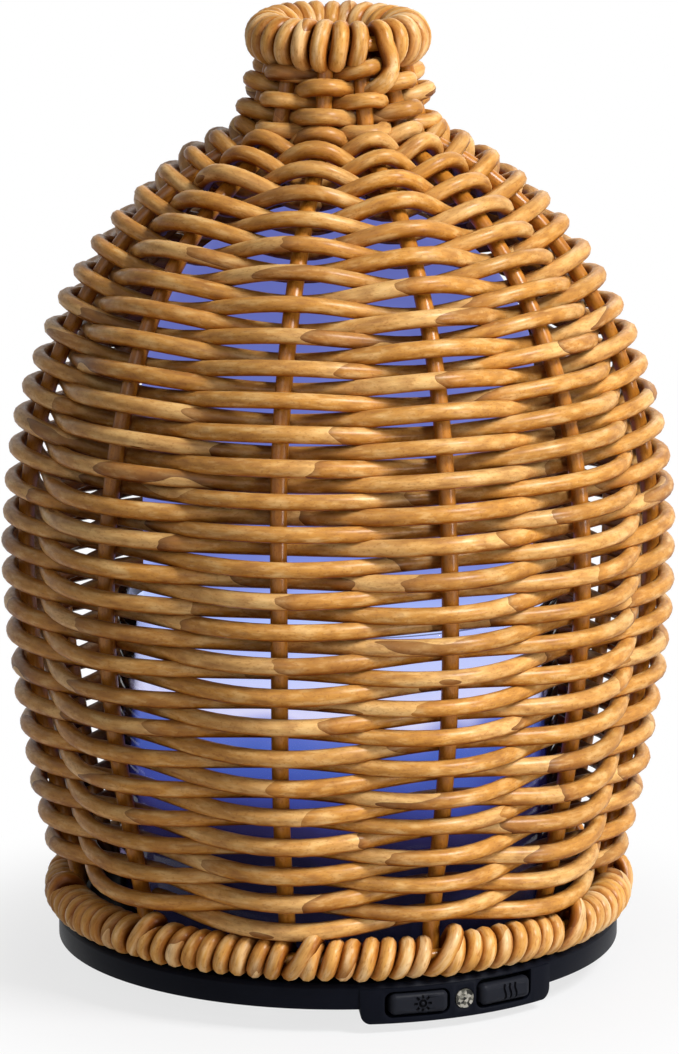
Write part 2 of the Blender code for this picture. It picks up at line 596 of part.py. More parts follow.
def water_tank():
    well_top = TANK_FLOOR_TOP - TANK_FLOOR_DIP
    outline = [(TANK_RADIUS, TANK_TOP), (TANK_RADIUS, TANK_FOOT), (TANK_INNER, TANK_FOOT),
               (TANK_INNER, TANK_FLOOR_UNDER), (WELL_RADIUS, TANK_FLOOR_UNDER), (WELL_RADIUS, well_top),
               (TANK_INNER, TANK_FLOOR_TOP), (TANK_INNER, TANK_TOP)]
    piece = add_part("water_tank", turned_mesh("water_tank", outline, TANK_STEPS), "milky plastic")
    pipe_foot = TANK_FLOOR_UNDER + TANK_FLOOR_THICKNESS / 2
    pipe = cylinder_mesh("air_pipe", PIPE_RADIUS, PIPE_TOP - pipe_foot, SMALL_ROUND_STEPS)
    fuse(piece, "air_pipe", pipe, (PIPE_CIRCLE, 0, pipe_foot))
    bore = cylinder_mesh("air_bore", PIPE_RADIUS - PIPE_WALL, 2 * (PIPE_TOP - pipe_foot), SMALL_ROUND_STEPS)
    fuse(piece, "air_bore", bore, (PIPE_CIRCLE, 0, TANK_FLOOR_UNDER - TANK_FLOOR_THICKNESS), "DIFFERENCE")


def dome_line(radius, rise, spout, top_down):
    """Points of a quarter ellipse from the lid's wall to its spout."""
    step = math.acos(spout / radius) / DOME_STEPS
    points = [(radius * math.cos(step * i), LID_SHOULDER_Z + rise * math.sin(step * i))
              for i in range(DOME_STEPS + 1)]
    return points[::-1] if top_down else points


def inner_lid():
    ledge_low = TANK_TOP + GAP
    outer = [(SPOUT_RADIUS, SPOUT_TOP)] + dome_line(LID_RADIUS, LID_DOME_RISE, SPOUT_RADIUS, True)
    ledge = [(LID_RADIUS, ledge_low + LID_LEDGE_THICKNESS), (TANK_RADIUS, ledge_low + LID_LEDGE_THICKNESS),
             (TANK_RADIUS, ledge_low), (LID_RADIUS, ledge_low), (LID_RADIUS, LID_BOTTOM)]
    inside = LID_RADIUS - LID_WALL
    inner = [(inside, LID_BOTTOM)]
    inner += dome_line(inside, LID_DOME_RISE - LID_WALL, SPOUT_RADIUS - SPOUT_WALL, False)
    inner.append((SPOUT_RADIUS - SPOUT_WALL, SPOUT_TOP))
    add_part("inner_lid", turned_mesh("inner_lid", outer + ledge + inner, TANK_STEPS), "milky plastic")


def mist_maker():
    seal_top = TANK_FLOOR_UNDER - GAP
    seal_low = seal_top - SEAL_THICKNESS
    disc_top = seal_low - GAP
    disc_low = disc_top - DISC_THICKNESS
    ring = [(DISC_RADIUS, seal_top), (DISC_RADIUS, seal_low), (WELL_RADIUS, seal_low),
            (WELL_RADIUS, seal_top)]
    add_part("disc_seal", turned_mesh("disc_seal", ring, ROUND_STEPS), "rubber")
    disc = cylinder_mesh("mist_disc", DISC_RADIUS, DISC_THICKNESS, ROUND_STEPS)
    disc.transform(Matrix.Translation((0, 0, disc_low)))
    add_part("mist_disc", disc, "brass")
    cup_inner = DISC_RADIUS + GAP
    cup_outer = cup_inner + CLAMP_WALL
    cup_floor = disc_low - GAP
    cup_under = cup_floor - CLAMP_FLOOR
    cup = [(cup_outer, seal_top), (cup_outer, cup_under), (WELL_RADIUS, cup_under), (WELL_RADIUS, cup_floor),
           (cup_inner, cup_floor), (cup_inner, seal_top)]
    add_part("disc_clamp", turned_mesh("disc_clamp", cup, ROUND_STEPS), "black plastic")
    board_low = seal_top - BOARD_THICKNESS
    board = [(LIGHT_BOARD_RADIUS, seal_top), (LIGHT_BOARD_RADIUS, board_low), (cup_outer + GAP, board_low),
             (cup_outer + GAP, seal_top)]
    piece = add_part("light_board", turned_mesh("light_board", board, ROUND_STEPS), "circuit board")
    pass_hole = cylinder_mesh("pipe_pass", PIPE_RADIUS + GAP, 4 * BOARD_THICKNESS, SMALL_ROUND_STEPS)
    fuse(piece, "pipe_pass", pass_hole, (PIPE_CIRCLE, 0, board_low - BOARD_THICKNESS), "DIFFERENCE")


# Woven cover

def wall_radius(z):
    """Radius of the stakes' middle line at a height."""
    if z < BELLY_Z:
        share = (z - STAKE_FOOT_Z) / (BELLY_Z - STAKE_FOOT_Z)
        return FOOT_WALL_RADIUS + (BELLY_WALL_RADIUS - FOOT_WALL_RADIUS) * math.sin(share * math.pi / 2)
    lift = min(1.0, (z - BELLY_Z) / DOME_RISE)
    dome = BELLY_WALL_RADIUS * math.sqrt(1.0 - lift * lift)
    flare = NECK_FLARE * min(1.0, (STAKE_TOP_Z - z) / NECK_FLARE_HEIGHT)
    neck = NECK_WALL_RADIUS + flare
    return (dome ** NECK_BLEND + neck ** NECK_BLEND) ** (1.0 / NECK_BLEND)


def wall_line():
    """The stakes' middle line as points (radius, z) at even steps along its length."""
    rise = (STAKE_TOP_Z - STAKE_FOOT_Z) / WALL_SAMPLES
    heights = [STAKE_FOOT_Z + rise * i for i in range(WALL_SAMPLES + 1)]
    line = [Vector((wall_radius(z), z)) for z in heights]
    lengths = [0.0]
    for before, after in zip(line, line[1:]):
        lengths.append(lengths[-1] + (after - before).length)
    points = []
    for index in range(STAKE_POINTS):
        wanted = lengths[-1] * index / (STAKE_POINTS - 1)
        place = min(range(len(lengths)), key=lambda i: abs(lengths[i] - wanted))
        points.append(line[place])
    return points


class Wall:
    """Places on the woven wall, by distance along the stakes' chain of points."""

    def __init__(self):
        self.points = wall_line()
        self.marks = [0.0]
        for before, after in zip(self.points, self.points[1:]):
            self.marks.append(self.marks[-1] + (after - before).length)
        self.length = self.marks[-1]
        self.slopes = []
        for index in range(len(self.points)):
            before = self.points[max(index - 1, 0)]
            after = self.points[min(index + 1, len(self.points) - 1)]
            self.slopes.append((after - before).normalized())

    def at(self, distance):
        distance = min(max(distance, 0.0), self.length)
        index = 0
        while index < len(self.marks) - 2 and self.marks[index + 1] < distance:
            index += 1
        share = (distance - self.marks[index]) / (self.marks[index + 1] - self.marks[index])
        place = self.points[index].lerp(self.points[index + 1], share)
        slope = self.slopes[index].lerp(self.slopes[index + 1], share).normalized()
        return place, slope

    def thinning(self, distance):
        """Stakes and strands get thinner over the last stretch up to the neck."""
        share = (distance / self.length - (1.0 - THINNING_SHARE)) / THINNING_SHARE
        share = min(max(share, 0.0), 1.0)
        return 1.0 + (NECK_THINNING - 1.0) * share


def stakes(wall):
    points = [(0, -place.x, place.y) for place in wall.points]
    scales = [wall.thinning(mark) for mark in wall.marks]
    for index, angle in enumerate(STAKE_ANGLES):
        stake = tube(f"stake_{index + 1:02d}", points, STAKE_RADIUS, "stake rattan", scales=scales)
        stake.rotation_euler = (0, 0, math.radians(angle))


def weaving_strands(wall):
    """One spiral of strands, each passing outside one stake and inside the next."""
    stake_count = len(STAKE_ANGLES)
    first = STRAND_HALF + WEAVE_GAP
    last = wall.length - (STRAND_HALF * NECK_THINNING + GAP)
    crossings = ROW_COUNT * stake_count
    per_strand = crossings // STRAND_COUNT
    for strand in range(STRAND_COUNT):
        points, tilts, scales = [], [], []
        begin = strand * per_strand
        end = begin + per_strand
        for crossing in range(begin, end + 1):
            row, stake = divmod(crossing, stake_count)
            angle = STAKE_ANGLES[stake] + 360.0 * row
            distance = first + (last - first) * crossing / crossings
            place, slope = wall.at(distance)
            scale = wall.thinning(distance)
            normal = Vector((slope.y, -slope.x))
            side = 1 if crossing % 2 else -1
            reach = (STAKE_RADIUS + STRAND_HALF) * scale + WEAVE_GAP
            middle = place + normal * side * reach
            land = math.degrees(STAKE_LAND * math.sqrt(scale) / place.x)
            steps = [-land, land]
            if crossing == begin:
                steps = [math.degrees(STRAND_END_STEP / place.x), land * STRAND_END_REACH]
            elif crossing == end:
                steps = [-land * STRAND_END_REACH, -math.degrees(STRAND_END_STEP / place.x)]
            for step in steps:
                points.append(polar(middle.x, angle + step, middle.y))
                tilts.append(math.pi / 4 + math.atan2(slope.x, slope.y))
                scales.append(scale)
        corner = STRAND_HALF * math.sqrt(2)
        tube(f"weaver_{strand + 1:02d}", points, corner, "rattan", tilts=tilts, scales=scales)


def wrap_line(ring_radius, ring_z, circle, wraps):
    """Points of a strand wound round a ring, from just past the start of the ring to just before its end."""
    total = wraps * WRAP_POINTS
    points = []
    for index in range(total - WRAP_POINTS + 1):
        curl = 2 * math.pi * index / WRAP_POINTS
        angle = WRAP_START_ANGLE + 360.0 * index / total
        points.append(polar(ring_radius + circle * math.cos(curl), angle, ring_z + circle * math.sin(curl)))
    return points


def least_self_gap(points, radius):
    """Least space between curls that lie side by side, measured on the points."""
    half = WRAP_POINTS // 2
    least = min((points[i] - points[j]).length for i in range(len(points))
                for j in range(i + half, min(i + 2 * WRAP_POINTS, len(points))))
    return least - 2 * radius


def border(place, ring_radius, ring_z, steps, wrap_circle, wrap_radius, wraps):
    ring = [polar(ring_radius, 360.0 * i / steps, ring_z) for i in range(steps)]
    tube(f"{place}_core", ring, CORE_RADIUS, "stake rattan", cyclic=True)
    points = wrap_line(ring_radius, ring_z, wrap_circle, wraps)
    print(f"{place} wrap: least gap to itself {least_self_gap(points, wrap_radius) / MM:.2f} mm")
    tube(f"{place}_wrap", points, wrap_radius, "rattan")


def woven_cover():
    wall = Wall()
    stakes(wall)
    weaving_strands(wall)
    border("foot_ring", FOOT_RING_RADIUS, FOOT_RING_Z, FOOT_CORE_STEPS, FOOT_WRAP_CIRCLE, FOOT_WRAP_RADIUS,
           FOOT_WRAPS)
    border("neck_ring", NECK_RING_RADIUS, NECK_RING_Z, NECK_CORE_STEPS, NECK_WRAP_CIRCLE, NECK_WRAP_RADIUS,
           NECK_WRAPS)


clear_scene()
parts = make_collection("oil_diffuser")
cutters = make_collection("cutters")
make_materials()
housing()
buttons()
switch_board()
indicator_lens()
bottom_cover()
feet_and_screws()
fan()
main_board()
power_jack()
clear_sleeve()
water_tank()
inner_lid()
mist_maker()
woven_cover()
print("overall height", round(COVER_TOP / MM, 1), "mm")
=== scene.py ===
# %% [markdown]
# # An oil diffuser under a woven rattan cover
# The real object is a black base with two buttons, a lit tank that makes mist, and a cover woven by hand
# from rattan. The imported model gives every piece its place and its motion. This lesson gives each piece its
# finished shape and its surface, one piece at a time. Lengths are in metres and +Z is up.

# %% Load the frame
import math
import random

import bpy
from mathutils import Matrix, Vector
from mathutils.geometry import interpolate_bezier


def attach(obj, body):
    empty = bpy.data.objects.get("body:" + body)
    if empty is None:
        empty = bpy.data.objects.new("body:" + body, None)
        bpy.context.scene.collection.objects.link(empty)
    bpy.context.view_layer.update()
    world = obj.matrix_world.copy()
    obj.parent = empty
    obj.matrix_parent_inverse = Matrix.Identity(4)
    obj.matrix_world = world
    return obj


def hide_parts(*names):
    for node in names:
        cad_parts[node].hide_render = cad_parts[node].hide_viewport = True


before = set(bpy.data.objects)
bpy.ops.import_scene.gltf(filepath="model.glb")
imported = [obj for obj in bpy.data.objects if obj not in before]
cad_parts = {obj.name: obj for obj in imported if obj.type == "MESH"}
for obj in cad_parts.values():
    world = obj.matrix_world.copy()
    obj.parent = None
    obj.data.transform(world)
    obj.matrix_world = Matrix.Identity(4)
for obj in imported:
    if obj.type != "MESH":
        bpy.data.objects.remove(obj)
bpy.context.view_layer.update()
scene = bpy.context.scene
scene.view_settings.view_transform = "Standard"
MM = 0.001

# %% [markdown]
# ## Camera
# The rows of the weave are level rings, so the way they curve in the picture gives the camera's height and
# distance: about a metre away, a hand's width above the object, looking down twelve degrees through a long
# lens.

# %% Camera
VIEW_TURN = -25.5            # degrees round the object, from the control tab
VIEW_DISTANCE = 0.9888
VIEW_HEIGHT = 0.2972
VIEW_PITCH = 12.09           # degrees below level
VIEW_LENS = 178.1            # millimetres, on a sensor of the next width
SENSOR_WIDTH = 36.0
VIEW_SHIFT = 0.0014          # share of the picture's width


def polar(radius, angle, z):
    """A point by its distance from the axis, its angle from the control tab and its height."""
    turn = math.radians(angle)
    return Vector((radius * math.sin(turn), -radius * math.cos(turn), z))


bpy.ops.object.camera_add(location=polar(VIEW_DISTANCE, VIEW_TURN, VIEW_HEIGHT))
camera = bpy.context.object
camera.name = "camera"
camera.rotation_euler = (math.radians(90 - VIEW_PITCH), 0, math.radians(VIEW_TURN))
camera.data.lens = VIEW_LENS
camera.data.sensor_width = SENSOR_WIDTH
camera.data.shift_x = VIEW_SHIFT
camera.data.clip_start = 0.01
scene.camera = camera
print("camera at", [round(value, 3) for value in camera.location])

# %% [markdown]
# ## Floor and light
# A studio sweep is a wide white floor that runs out of view. Close to the object it is partly white paint,
# which catches the soft shadow. Further out it turns to a white glow, as a lit sweep does. Only the camera,
# mirrors and glass see that glow.

# %% World
ROOM_LIGHT, ROOM_WHITE = 0.07, 1.0    # the world's strength where it falls on things, and where it is seen

world = bpy.data.worlds.new("studio")
world.use_nodes = True
scene.world = world
nodes = world.node_tree.nodes
links = world.node_tree.links
background = nodes["Background"]
background.inputs["Color"].default_value = (1, 1, 1, 1)


def seen_rays(tree):
    """One for rays from the camera, a mirror or glass, and zero for light that falls on things."""
    path = tree.nodes.new("ShaderNodeLightPath")
    total = path.outputs["Is Camera Ray"]
    for label in ("Is Glossy Ray", "Is Transmission Ray"):
        both = tree.nodes.new("ShaderNodeMath")
        both.operation = "MAXIMUM"
        tree.links.new(total, both.inputs[0])
        tree.links.new(path.outputs[label], both.inputs[1])
        total = both.outputs[0]
    return total


room_level = nodes.new("ShaderNodeMapRange")
room_level.inputs["To Min"].default_value = ROOM_LIGHT
room_level.inputs["To Max"].default_value = ROOM_WHITE
links.new(seen_rays(world.node_tree), room_level.inputs["Value"])
links.new(room_level.outputs["Result"], background.inputs["Strength"])
print("world ready")

# %% Floor
FLOOR_SIZE = 12.0
SWEEP_START, SWEEP_FULL = 0.056, 0.11         # distances from the axis between which the glow comes in
SWEEP_NEAR = 0.76                             # share of the glow under the object

bpy.ops.object.select_all(action="DESELECT")
bpy.ops.mesh.primitive_plane_add(size=FLOOR_SIZE)
floor = bpy.context.object
floor.name = "floor"
floor_white = bpy.data.materials.new("floor_white")
floor_white.use_nodes = True
nodes = floor_white.node_tree.nodes
links = floor_white.node_tree.links
paint = nodes["Principled BSDF"]
paint.inputs["Base Color"].default_value = (0.62, 0.62, 0.63, 1)
paint.inputs["Roughness"].default_value = 0.9
paint.inputs["Specular IOR Level"].default_value = 0.1
sweep = nodes.new("ShaderNodeEmission")
from_axis = nodes.new("ShaderNodeVectorMath")
from_axis.operation = "LENGTH"
links.new(nodes.new("ShaderNodeTexCoord").outputs["Object"], from_axis.inputs[0])
fade = nodes.new("ShaderNodeMapRange")
fade.interpolation_type = "SMOOTHSTEP"
fade.inputs["From Min"].default_value = SWEEP_START
fade.inputs["From Max"].default_value = SWEEP_FULL
fade.inputs["To Min"].default_value = SWEEP_NEAR
links.new(from_axis.outputs["Value"], fade.inputs["Value"])
seen = nodes.new("ShaderNodeMath")
seen.operation = "MULTIPLY"
links.new(seen_rays(floor_white.node_tree), seen.inputs[0])
links.new(fade.outputs["Result"], seen.inputs[1])
blend = nodes.new("ShaderNodeMixShader")
links.new(seen.outputs[0], blend.inputs["Fac"])
links.new(paint.outputs[0], blend.inputs[1])
links.new(sweep.outputs[0], blend.inputs[2])
links.new(blend.outputs[0], nodes["Material Output"].inputs["Surface"])
floor.data.materials.append(floor_white)
print("floor ready")

# %% [markdown]
# The main light comes from the right of the camera, high up, so that the left side falls off gently. A
# weak, wide one on the left opens the shadows, and one behind gives the neck its bright rim. A small one
# near the table draws the bright line along each upright stake, which no light from above can do.

# %% Lamps
AIM_HEIGHT = 0.09
LAMPS = (                    # name, angle from the camera, distance, height, size and power
    ("key", 55, 0.9, 1.0, 0.42, 21.8),
    ("fill", -20, 1.2, 0.8, 0.7, 2.8),
    ("low", 56, 1.0, 0.10, 0.2, 3.0),
    ("rim", 160, 1.1, 0.7, 0.5, 2.0),
)


def add_lamp(name, angle, distance, height, size, power):
    """A square soft box that looks at the middle of the object."""
    place = polar(distance, angle, height)
    bpy.ops.object.light_add(type="AREA", location=place)
    lamp = bpy.context.object
    lamp.name = name
    lamp.data.shape = "SQUARE"
    lamp.data.size = size
    lamp.data.energy = power
    lamp.rotation_euler = (Vector((0, 0, AIM_HEIGHT)) - place).to_track_quat("-Z", "Y").to_euler()
    print(name, power, "W")


for name, angle, *setting in LAMPS:
    add_lamp(name, VIEW_TURN + angle, *setting)

# %% [markdown]
# ## Rattan
# Rattan is a vine. Its smooth skin is golden and satin, with fine fibres along its length. At each joint,
# where a leaf once grew, there is a slanted scar: the skin is dark orange just past it and fades to pale
# straw before the next. All rods share this look, so it is one node group. It reads the rod's own UV map,
# in which u counts decimetres along the rod and v goes once round it.

# %% Rattan skin group


def new_group(name, inputs, outputs):
    group = bpy.data.node_groups.new(name, "ShaderNodeTree")
    for label, kind in inputs:
        group.interface.new_socket(name=label, in_out="INPUT", socket_type=kind)
    for label, kind in outputs:
        group.interface.new_socket(name=label, in_out="OUTPUT", socket_type=kind)
    return group, group.nodes.new("NodeGroupInput"), group.nodes.new("NodeGroupOutput")


def math_node(tree, operation, first, second=None, third=None):
    """A Math node, fed with sockets or plain numbers."""
    node = tree.nodes.new("ShaderNodeMath")
    node.operation = operation
    for socket, value in zip(node.inputs, (first, second, third)):
        if isinstance(value, bpy.types.NodeSocket):
            tree.links.new(value, socket)
        elif value is not None:
            socket.default_value = value
    return node.outputs[0]


def mix_colours(tree, factor, first, second, blend="MIX"):
    node = tree.nodes.new("ShaderNodeMix")
    node.data_type = "RGBA"
    node.blend_type = blend
    for label, value in (("Factor_Float", factor), ("A_Color", first), ("B_Color", second)):
        socket = next(item for item in node.inputs if item.identifier == label)
        if isinstance(value, bpy.types.NodeSocket):
            tree.links.new(value, socket)
        else:
            socket.default_value = value
    return next(item for item in node.outputs if item.identifier == "Result_Color")


def ramp(tree, factor, stops):
    """A colour ramp from (position, grey or colour) pairs."""
    node = tree.nodes.new("ShaderNodeValToRGB")
    while len(node.color_ramp.elements) < len(stops):
        node.color_ramp.elements.new(0.5)
    for element, (position, colour) in zip(node.color_ramp.elements, stops):
        element.position = position
        element.color = (colour,) * 3 + (1,) if isinstance(colour, float) else (*colour, 1)
    tree.links.new(factor, node.inputs["Fac"])
    return node.outputs["Color"]


def noise(tree, place, scale, detail=2.0):
    node = tree.nodes.new("ShaderNodeTexNoise")
    node.inputs["Scale"].default_value = scale
    node.inputs["Detail"].default_value = detail
    tree.links.new(place, node.inputs["Vector"])
    return node.outputs["Fac"]


def join_xyz(tree, *values):
    node = tree.nodes.new("ShaderNodeCombineXYZ")
    for socket, value in zip(node.inputs, values):
        tree.links.new(value, socket)
    return node.outputs[0]


OUTER_SIDE = 0.4              # v of the side of a level rod that looks outwards

skin, skin_in, skin_out = new_group(
    "rattan_skin",
    [("UV", "NodeSocketVector"), ("Pale", "NodeSocketColor"), ("Golden", "NodeSocketColor"),
     ("Scar", "NodeSocketColor"), ("Joints per decimetre", "NodeSocketFloat"),
     ("Painted shade and highlight", "NodeSocketFloat"), ("Crevice", "NodeSocketFloat"), ("Marks", "NodeSocketFloat")],
    [("Color", "NodeSocketColor"), ("Roughness", "NodeSocketFloat"), ("Height", "NodeSocketFloat")])
split = skin.nodes.new("ShaderNodeSeparateXYZ")
skin.links.new(skin_in.outputs["UV"], split.inputs[0])
along = split.outputs["X"]
from_outer = math_node(skin, "SUBTRACT", split.outputs["Y"], OUTER_SIDE)
turn = math_node(skin, "MULTIPLY", from_outer, 2 * math.pi)
cosine = math_node(skin, "COSINE", turn)
sine = math_node(skin, "SINE", turn)
long_place = join_xyz(skin, along)


def rod_place(along_scale, round_scale):
    """Coordinates on the rod that close up where v starts again."""
    return join_xyz(skin, math_node(skin, "MULTIPLY", along, along_scale),
                    math_node(skin, "MULTIPLY", cosine, round_scale),
                    math_node(skin, "MULTIPLY", sine, round_scale))


edge_place = rod_place(7.0, 0.8)
fibre_place = rod_place(2.5, 6.0)
blotch_place = rod_place(15.0, 0.9)
mottle_place = rod_place(38.0, 1.7)
fleck_place = rod_place(150.0, 4.5)
print("group", skin.name)

# %% [markdown]
# The scar is a saw-tooth along the rod: it jumps at the joint and then fades. Adding a little of the cosine
# round the rod slants the jump, and a slow noise moves the joints out of step. Some joints are strong and
# some are faint.

# %% Joints and scars
JOINT_WANDER = 1.8                            # how far the slow noise moves a joint, in joints
TIP_TURN = 5.0                                # how far round the rod the tip of a scar can lie, in radians
TIP_REACH, EDGE_REACH = 0.07, 0.12            # length of the tip and of the ragged edge, in joints
SCAR_LINE = (0.11, 0.035, 0.006, 1)

wander = noise(skin, long_place, 2.2, 1.0)
drift = math_node(skin, "ADD", math_node(skin, "MULTIPLY", along, skin_in.outputs["Joints per decimetre"]),
                  math_node(skin, "MULTIPLY", wander, JOINT_WANDER))
tip_turn = math_node(skin, "MULTIPLY_ADD", noise(skin, long_place, 3.1, 0.0), TIP_TURN, -TIP_TURN / 2)
tip = math_node(skin, "COSINE", math_node(skin, "ADD", turn, tip_turn))
slant = math_node(skin, "MULTIPLY_ADD", tip, TIP_REACH, drift)
ragged = noise(skin, edge_place, 1.0, 0.0)
tooth = math_node(skin, "FRACT", math_node(skin, "MULTIPLY_ADD", ragged, EDGE_REACH, slant))
boldness = ramp(skin, noise(skin, long_place, 1.9, 0.0), [(0.38, 0.3), (0.6, 1.0)])
boldness = math_node(skin, "MULTIPLY", boldness, skin_in.outputs["Marks"])
scar_ramp = ramp(skin, tooth,
                 [(0.0, 0.95), (0.03, 0.78), (0.08, 0.5), (0.18, 0.2), (0.35, 0.0), (1.0, 0.0)])
scar_mask = math_node(skin, "MULTIPLY", scar_ramp, boldness)
line_ramp = ramp(skin, tooth, [(0.0, 0.7), (0.015, 0.5), (0.05, 0.0), (1.0, 0.0)])
line_mask = math_node(skin, "MULTIPLY", line_ramp, boldness)
pale_mask = ramp(skin, tooth, [(0.0, 0.0), (0.6, 0.0), (0.85, 0.15), (1.0, 0.42)])
print("scars drawn")

# %% [markdown]
# Between the joints the skin is stained and bleached in patches, large ones first and then small ones. Fine
# fibres and specks lie on top, and the dark line of the joint comes last.

# %% Stains and specks
FIBRE_SHARE = 0.35
SPECK_TINT = (0.62, 0.44, 0.28, 1)

pale, scar = skin_in.outputs["Pale"], skin_in.outputs["Scar"]
blotch = noise(skin, blotch_place, 1.0, 2.0)
mottle = noise(skin, mottle_place, 1.0, 2.0)
fibre = noise(skin, fibre_place, 1.0, 3.0)
fleck = noise(skin, fleck_place, 1.0, 2.0)
colour = mix_colours(skin, pale_mask, skin_in.outputs["Golden"], pale)
bleached = ramp(skin, blotch, [(0.25, 0.6), (0.47, 0.0), (1.0, 0.0)])
stain = ramp(skin, blotch, [(0.0, 0.0), (0.51, 0.0), (0.63, 0.35), (0.76, 0.75), (1.0, 0.9)])
cream = ramp(skin, mottle, [(0.0, 0.5), (0.3, 0.25), (0.47, 0.0), (1.0, 0.0)])
smoke = ramp(skin, mottle, [(0.0, 0.0), (0.52, 0.0), (0.68, 0.32), (1.0, 0.6)])
for mask, patch in ((bleached, pale), (stain, scar), (scar_mask, scar), (cream, pale), (smoke, scar)):
    colour = mix_colours(skin, mask, colour, patch)
tone = ramp(skin, noise(skin, long_place, 1.4, 2.0), [(0.3, 0.82), (0.7, 1.1)])
colour = mix_colours(skin, 1.0, colour, tone, "MULTIPLY")
streak = ramp(skin, fibre, [(0.3, 0.8), (0.7, 1.1)])
colour = mix_colours(skin, FIBRE_SHARE, colour, mix_colours(skin, 1.0, colour, streak, "MULTIPLY"))
speck = ramp(skin, fleck, [(0.0, 0.0), (0.56, 0.0), (0.68, 0.5), (1.0, 0.7)])
colour = mix_colours(skin, speck, colour, mix_colours(skin, 1.0, colour, SPECK_TINT, "MULTIPLY"))
colour = mix_colours(skin, line_mask, colour, SCAR_LINE)
print("stains and specks laid")

# %% [markdown]
# A strand's lower side is darkened and warmed as painted shade, and its upper side is lightened as a painted
# highlight. In a tight winding painted shade also darkens the skin towards the next turn, and each winding
# carries how deep each point lies as an attribute on its points.

# %% Shade and height
ROUGH_MEAN, ROUGH_CHANGE = 0.2, 0.3
FIBRE_HEIGHT, MOTTLE_HEIGHT, LINE_HEIGHT = 0.35, 0.5, -0.7

low_side = math_node(skin, "MULTIPLY_ADD", math_node(skin, "SUBTRACT", sine, cosine), 0.35, 0.5)
# painted highlight: the upper side of a level strand is mixed towards pale, as if lit from above
high = ramp(skin, low_side, [(0.0, 0.12), (0.22, 0.06), (0.4, 0.0), (1.0, 0.0)])
colour = mix_colours(skin, math_node(skin, "MULTIPLY", high, skin_in.outputs["Painted shade and highlight"]), colour, pale)
# painted shade: the lower side of a level strand is darkened and warmed
painted_underside_shade = ramp(skin, low_side,
             [(0.4, (1.0, 1.0, 1.0)), (0.65, (0.62, 0.42, 0.23)), (1.0, (0.24, 0.10, 0.03))])
shaded = mix_colours(skin, 1.0, colour, painted_underside_shade, "MULTIPLY")
colour = mix_colours(skin, skin_in.outputs["Painted shade and highlight"], colour, shaded)
# painted shade: the crevice attribute darkens the skin between the turns of a winding
painted_crevice_shade = ramp(skin, skin_in.outputs["Crevice"],
            [(0.07, (1.0, 1.0, 1.0)), (0.35, (0.72, 0.53, 0.34)), (0.7, (0.30, 0.16, 0.06)),
             (1.0, (0.12, 0.05, 0.02))])
colour = mix_colours(skin, 1.0, colour, painted_crevice_shade, "MULTIPLY")
skin.links.new(colour, skin_out.inputs["Color"])
rough = math_node(skin, "MULTIPLY_ADD", mottle, ROUGH_CHANGE, ROUGH_MEAN)
skin.links.new(rough, skin_out.inputs["Roughness"])
grain = math_node(skin, "ADD", math_node(skin, "MULTIPLY", fibre, FIBRE_HEIGHT),
                  math_node(skin, "MULTIPLY", mottle, MOTTLE_HEIGHT))
height = math_node(skin, "MULTIPLY_ADD", line_mask, LINE_HEIGHT, grain)
skin.links.new(height, skin_out.inputs["Height"])
print("rattan skin has", len(skin.nodes), "nodes")

# %% [markdown]
# Three finishes use the skin. The strands of the weave are strongly marked, the stakes are plainer and more
# orange, and the strand of the windings is paler. All have a thin varnish, which gives the small bright
# lines.

# %% Rattan materials
GRAIN_DEPTH = 0.12 * MM
RATTAN_SHEEN = 0.02
VARNISH_ROUGHNESS = 0.26
VARNISH_INDEX = 2.0                           # with a low weight, this veils slanted surfaces less
PORE_SCALE = 2600


def new_material(name):
    material = bpy.data.materials.new(name)
    material.use_nodes = True
    return material, material.node_tree, material.node_tree.nodes["Principled BSDF"]


def add_bump(tree, shader, height, distance):
    bump = tree.nodes.new("ShaderNodeBump")
    bump.inputs["Distance"].default_value = distance
    tree.links.new(height, bump.inputs["Height"])
    tree.links.new(bump.outputs["Normal"], shader.inputs["Normal"])


def rattan(name, pale, golden, scar, joints, marks, painted_shade_and_highlight, varnish):
    """A rattan finish from the skin group, with a thin coat of varnish."""
    material, tree, shader = new_material(name)
    uv = tree.nodes.new("ShaderNodeUVMap")
    uv.uv_map = "UVMap"
    group = tree.nodes.new("ShaderNodeGroup")
    group.node_tree = skin
    for label, value in (("Pale", pale), ("Golden", golden), ("Scar", scar)):
        group.inputs[label].default_value = (*value, 1)
    group.inputs["Joints per decimetre"].default_value = joints
    group.inputs["Marks"].default_value = marks
    group.inputs["Painted shade and highlight"].default_value = painted_shade_and_highlight
    # the crevice attribute of a winding darkens its skin as painted shade
    crevice = tree.nodes.new("ShaderNodeAttribute")
    crevice.attribute_name = "crevice"
    tree.links.new(crevice.outputs["Fac"], group.inputs["Crevice"])
    tree.links.new(uv.outputs["UV"], group.inputs["UV"])
    tree.links.new(group.outputs["Color"], shader.inputs["Base Color"])
    tree.links.new(group.outputs["Roughness"], shader.inputs["Roughness"])
    add_bump(tree, shader, group.outputs["Height"], GRAIN_DEPTH)
    shader.inputs["Specular IOR Level"].default_value = RATTAN_SHEEN
    shader.inputs["Coat Weight"].default_value = varnish
    shader.inputs["Coat Roughness"].default_value = VARNISH_ROUGHNESS
    shader.inputs["Coat IOR"].default_value = VARNISH_INDEX
    return material


strand_rattan = rattan("strand_rattan", pale=(0.84, 0.57, 0.25), golden=(0.50, 0.21, 0.030),
                       scar=(0.22, 0.058, 0.005), joints=1.5, marks=1.0, painted_shade_and_highlight=1.0, varnish=0.10)
stake_rattan = rattan("stake_rattan", pale=(0.60, 0.25, 0.045), golden=(0.48, 0.18, 0.02),
                      scar=(0.34, 0.11, 0.010), joints=0.9, marks=0.4, painted_shade_and_highlight=0.0, varnish=0.2)
wrap_rattan = rattan("wrap_rattan", pale=(0.94, 0.74, 0.45), golden=(0.64, 0.325, 0.080),
                     scar=(0.34, 0.11, 0.011), joints=1.3, marks=0.7, painted_shade_and_highlight=0.0, varnish=0.10)

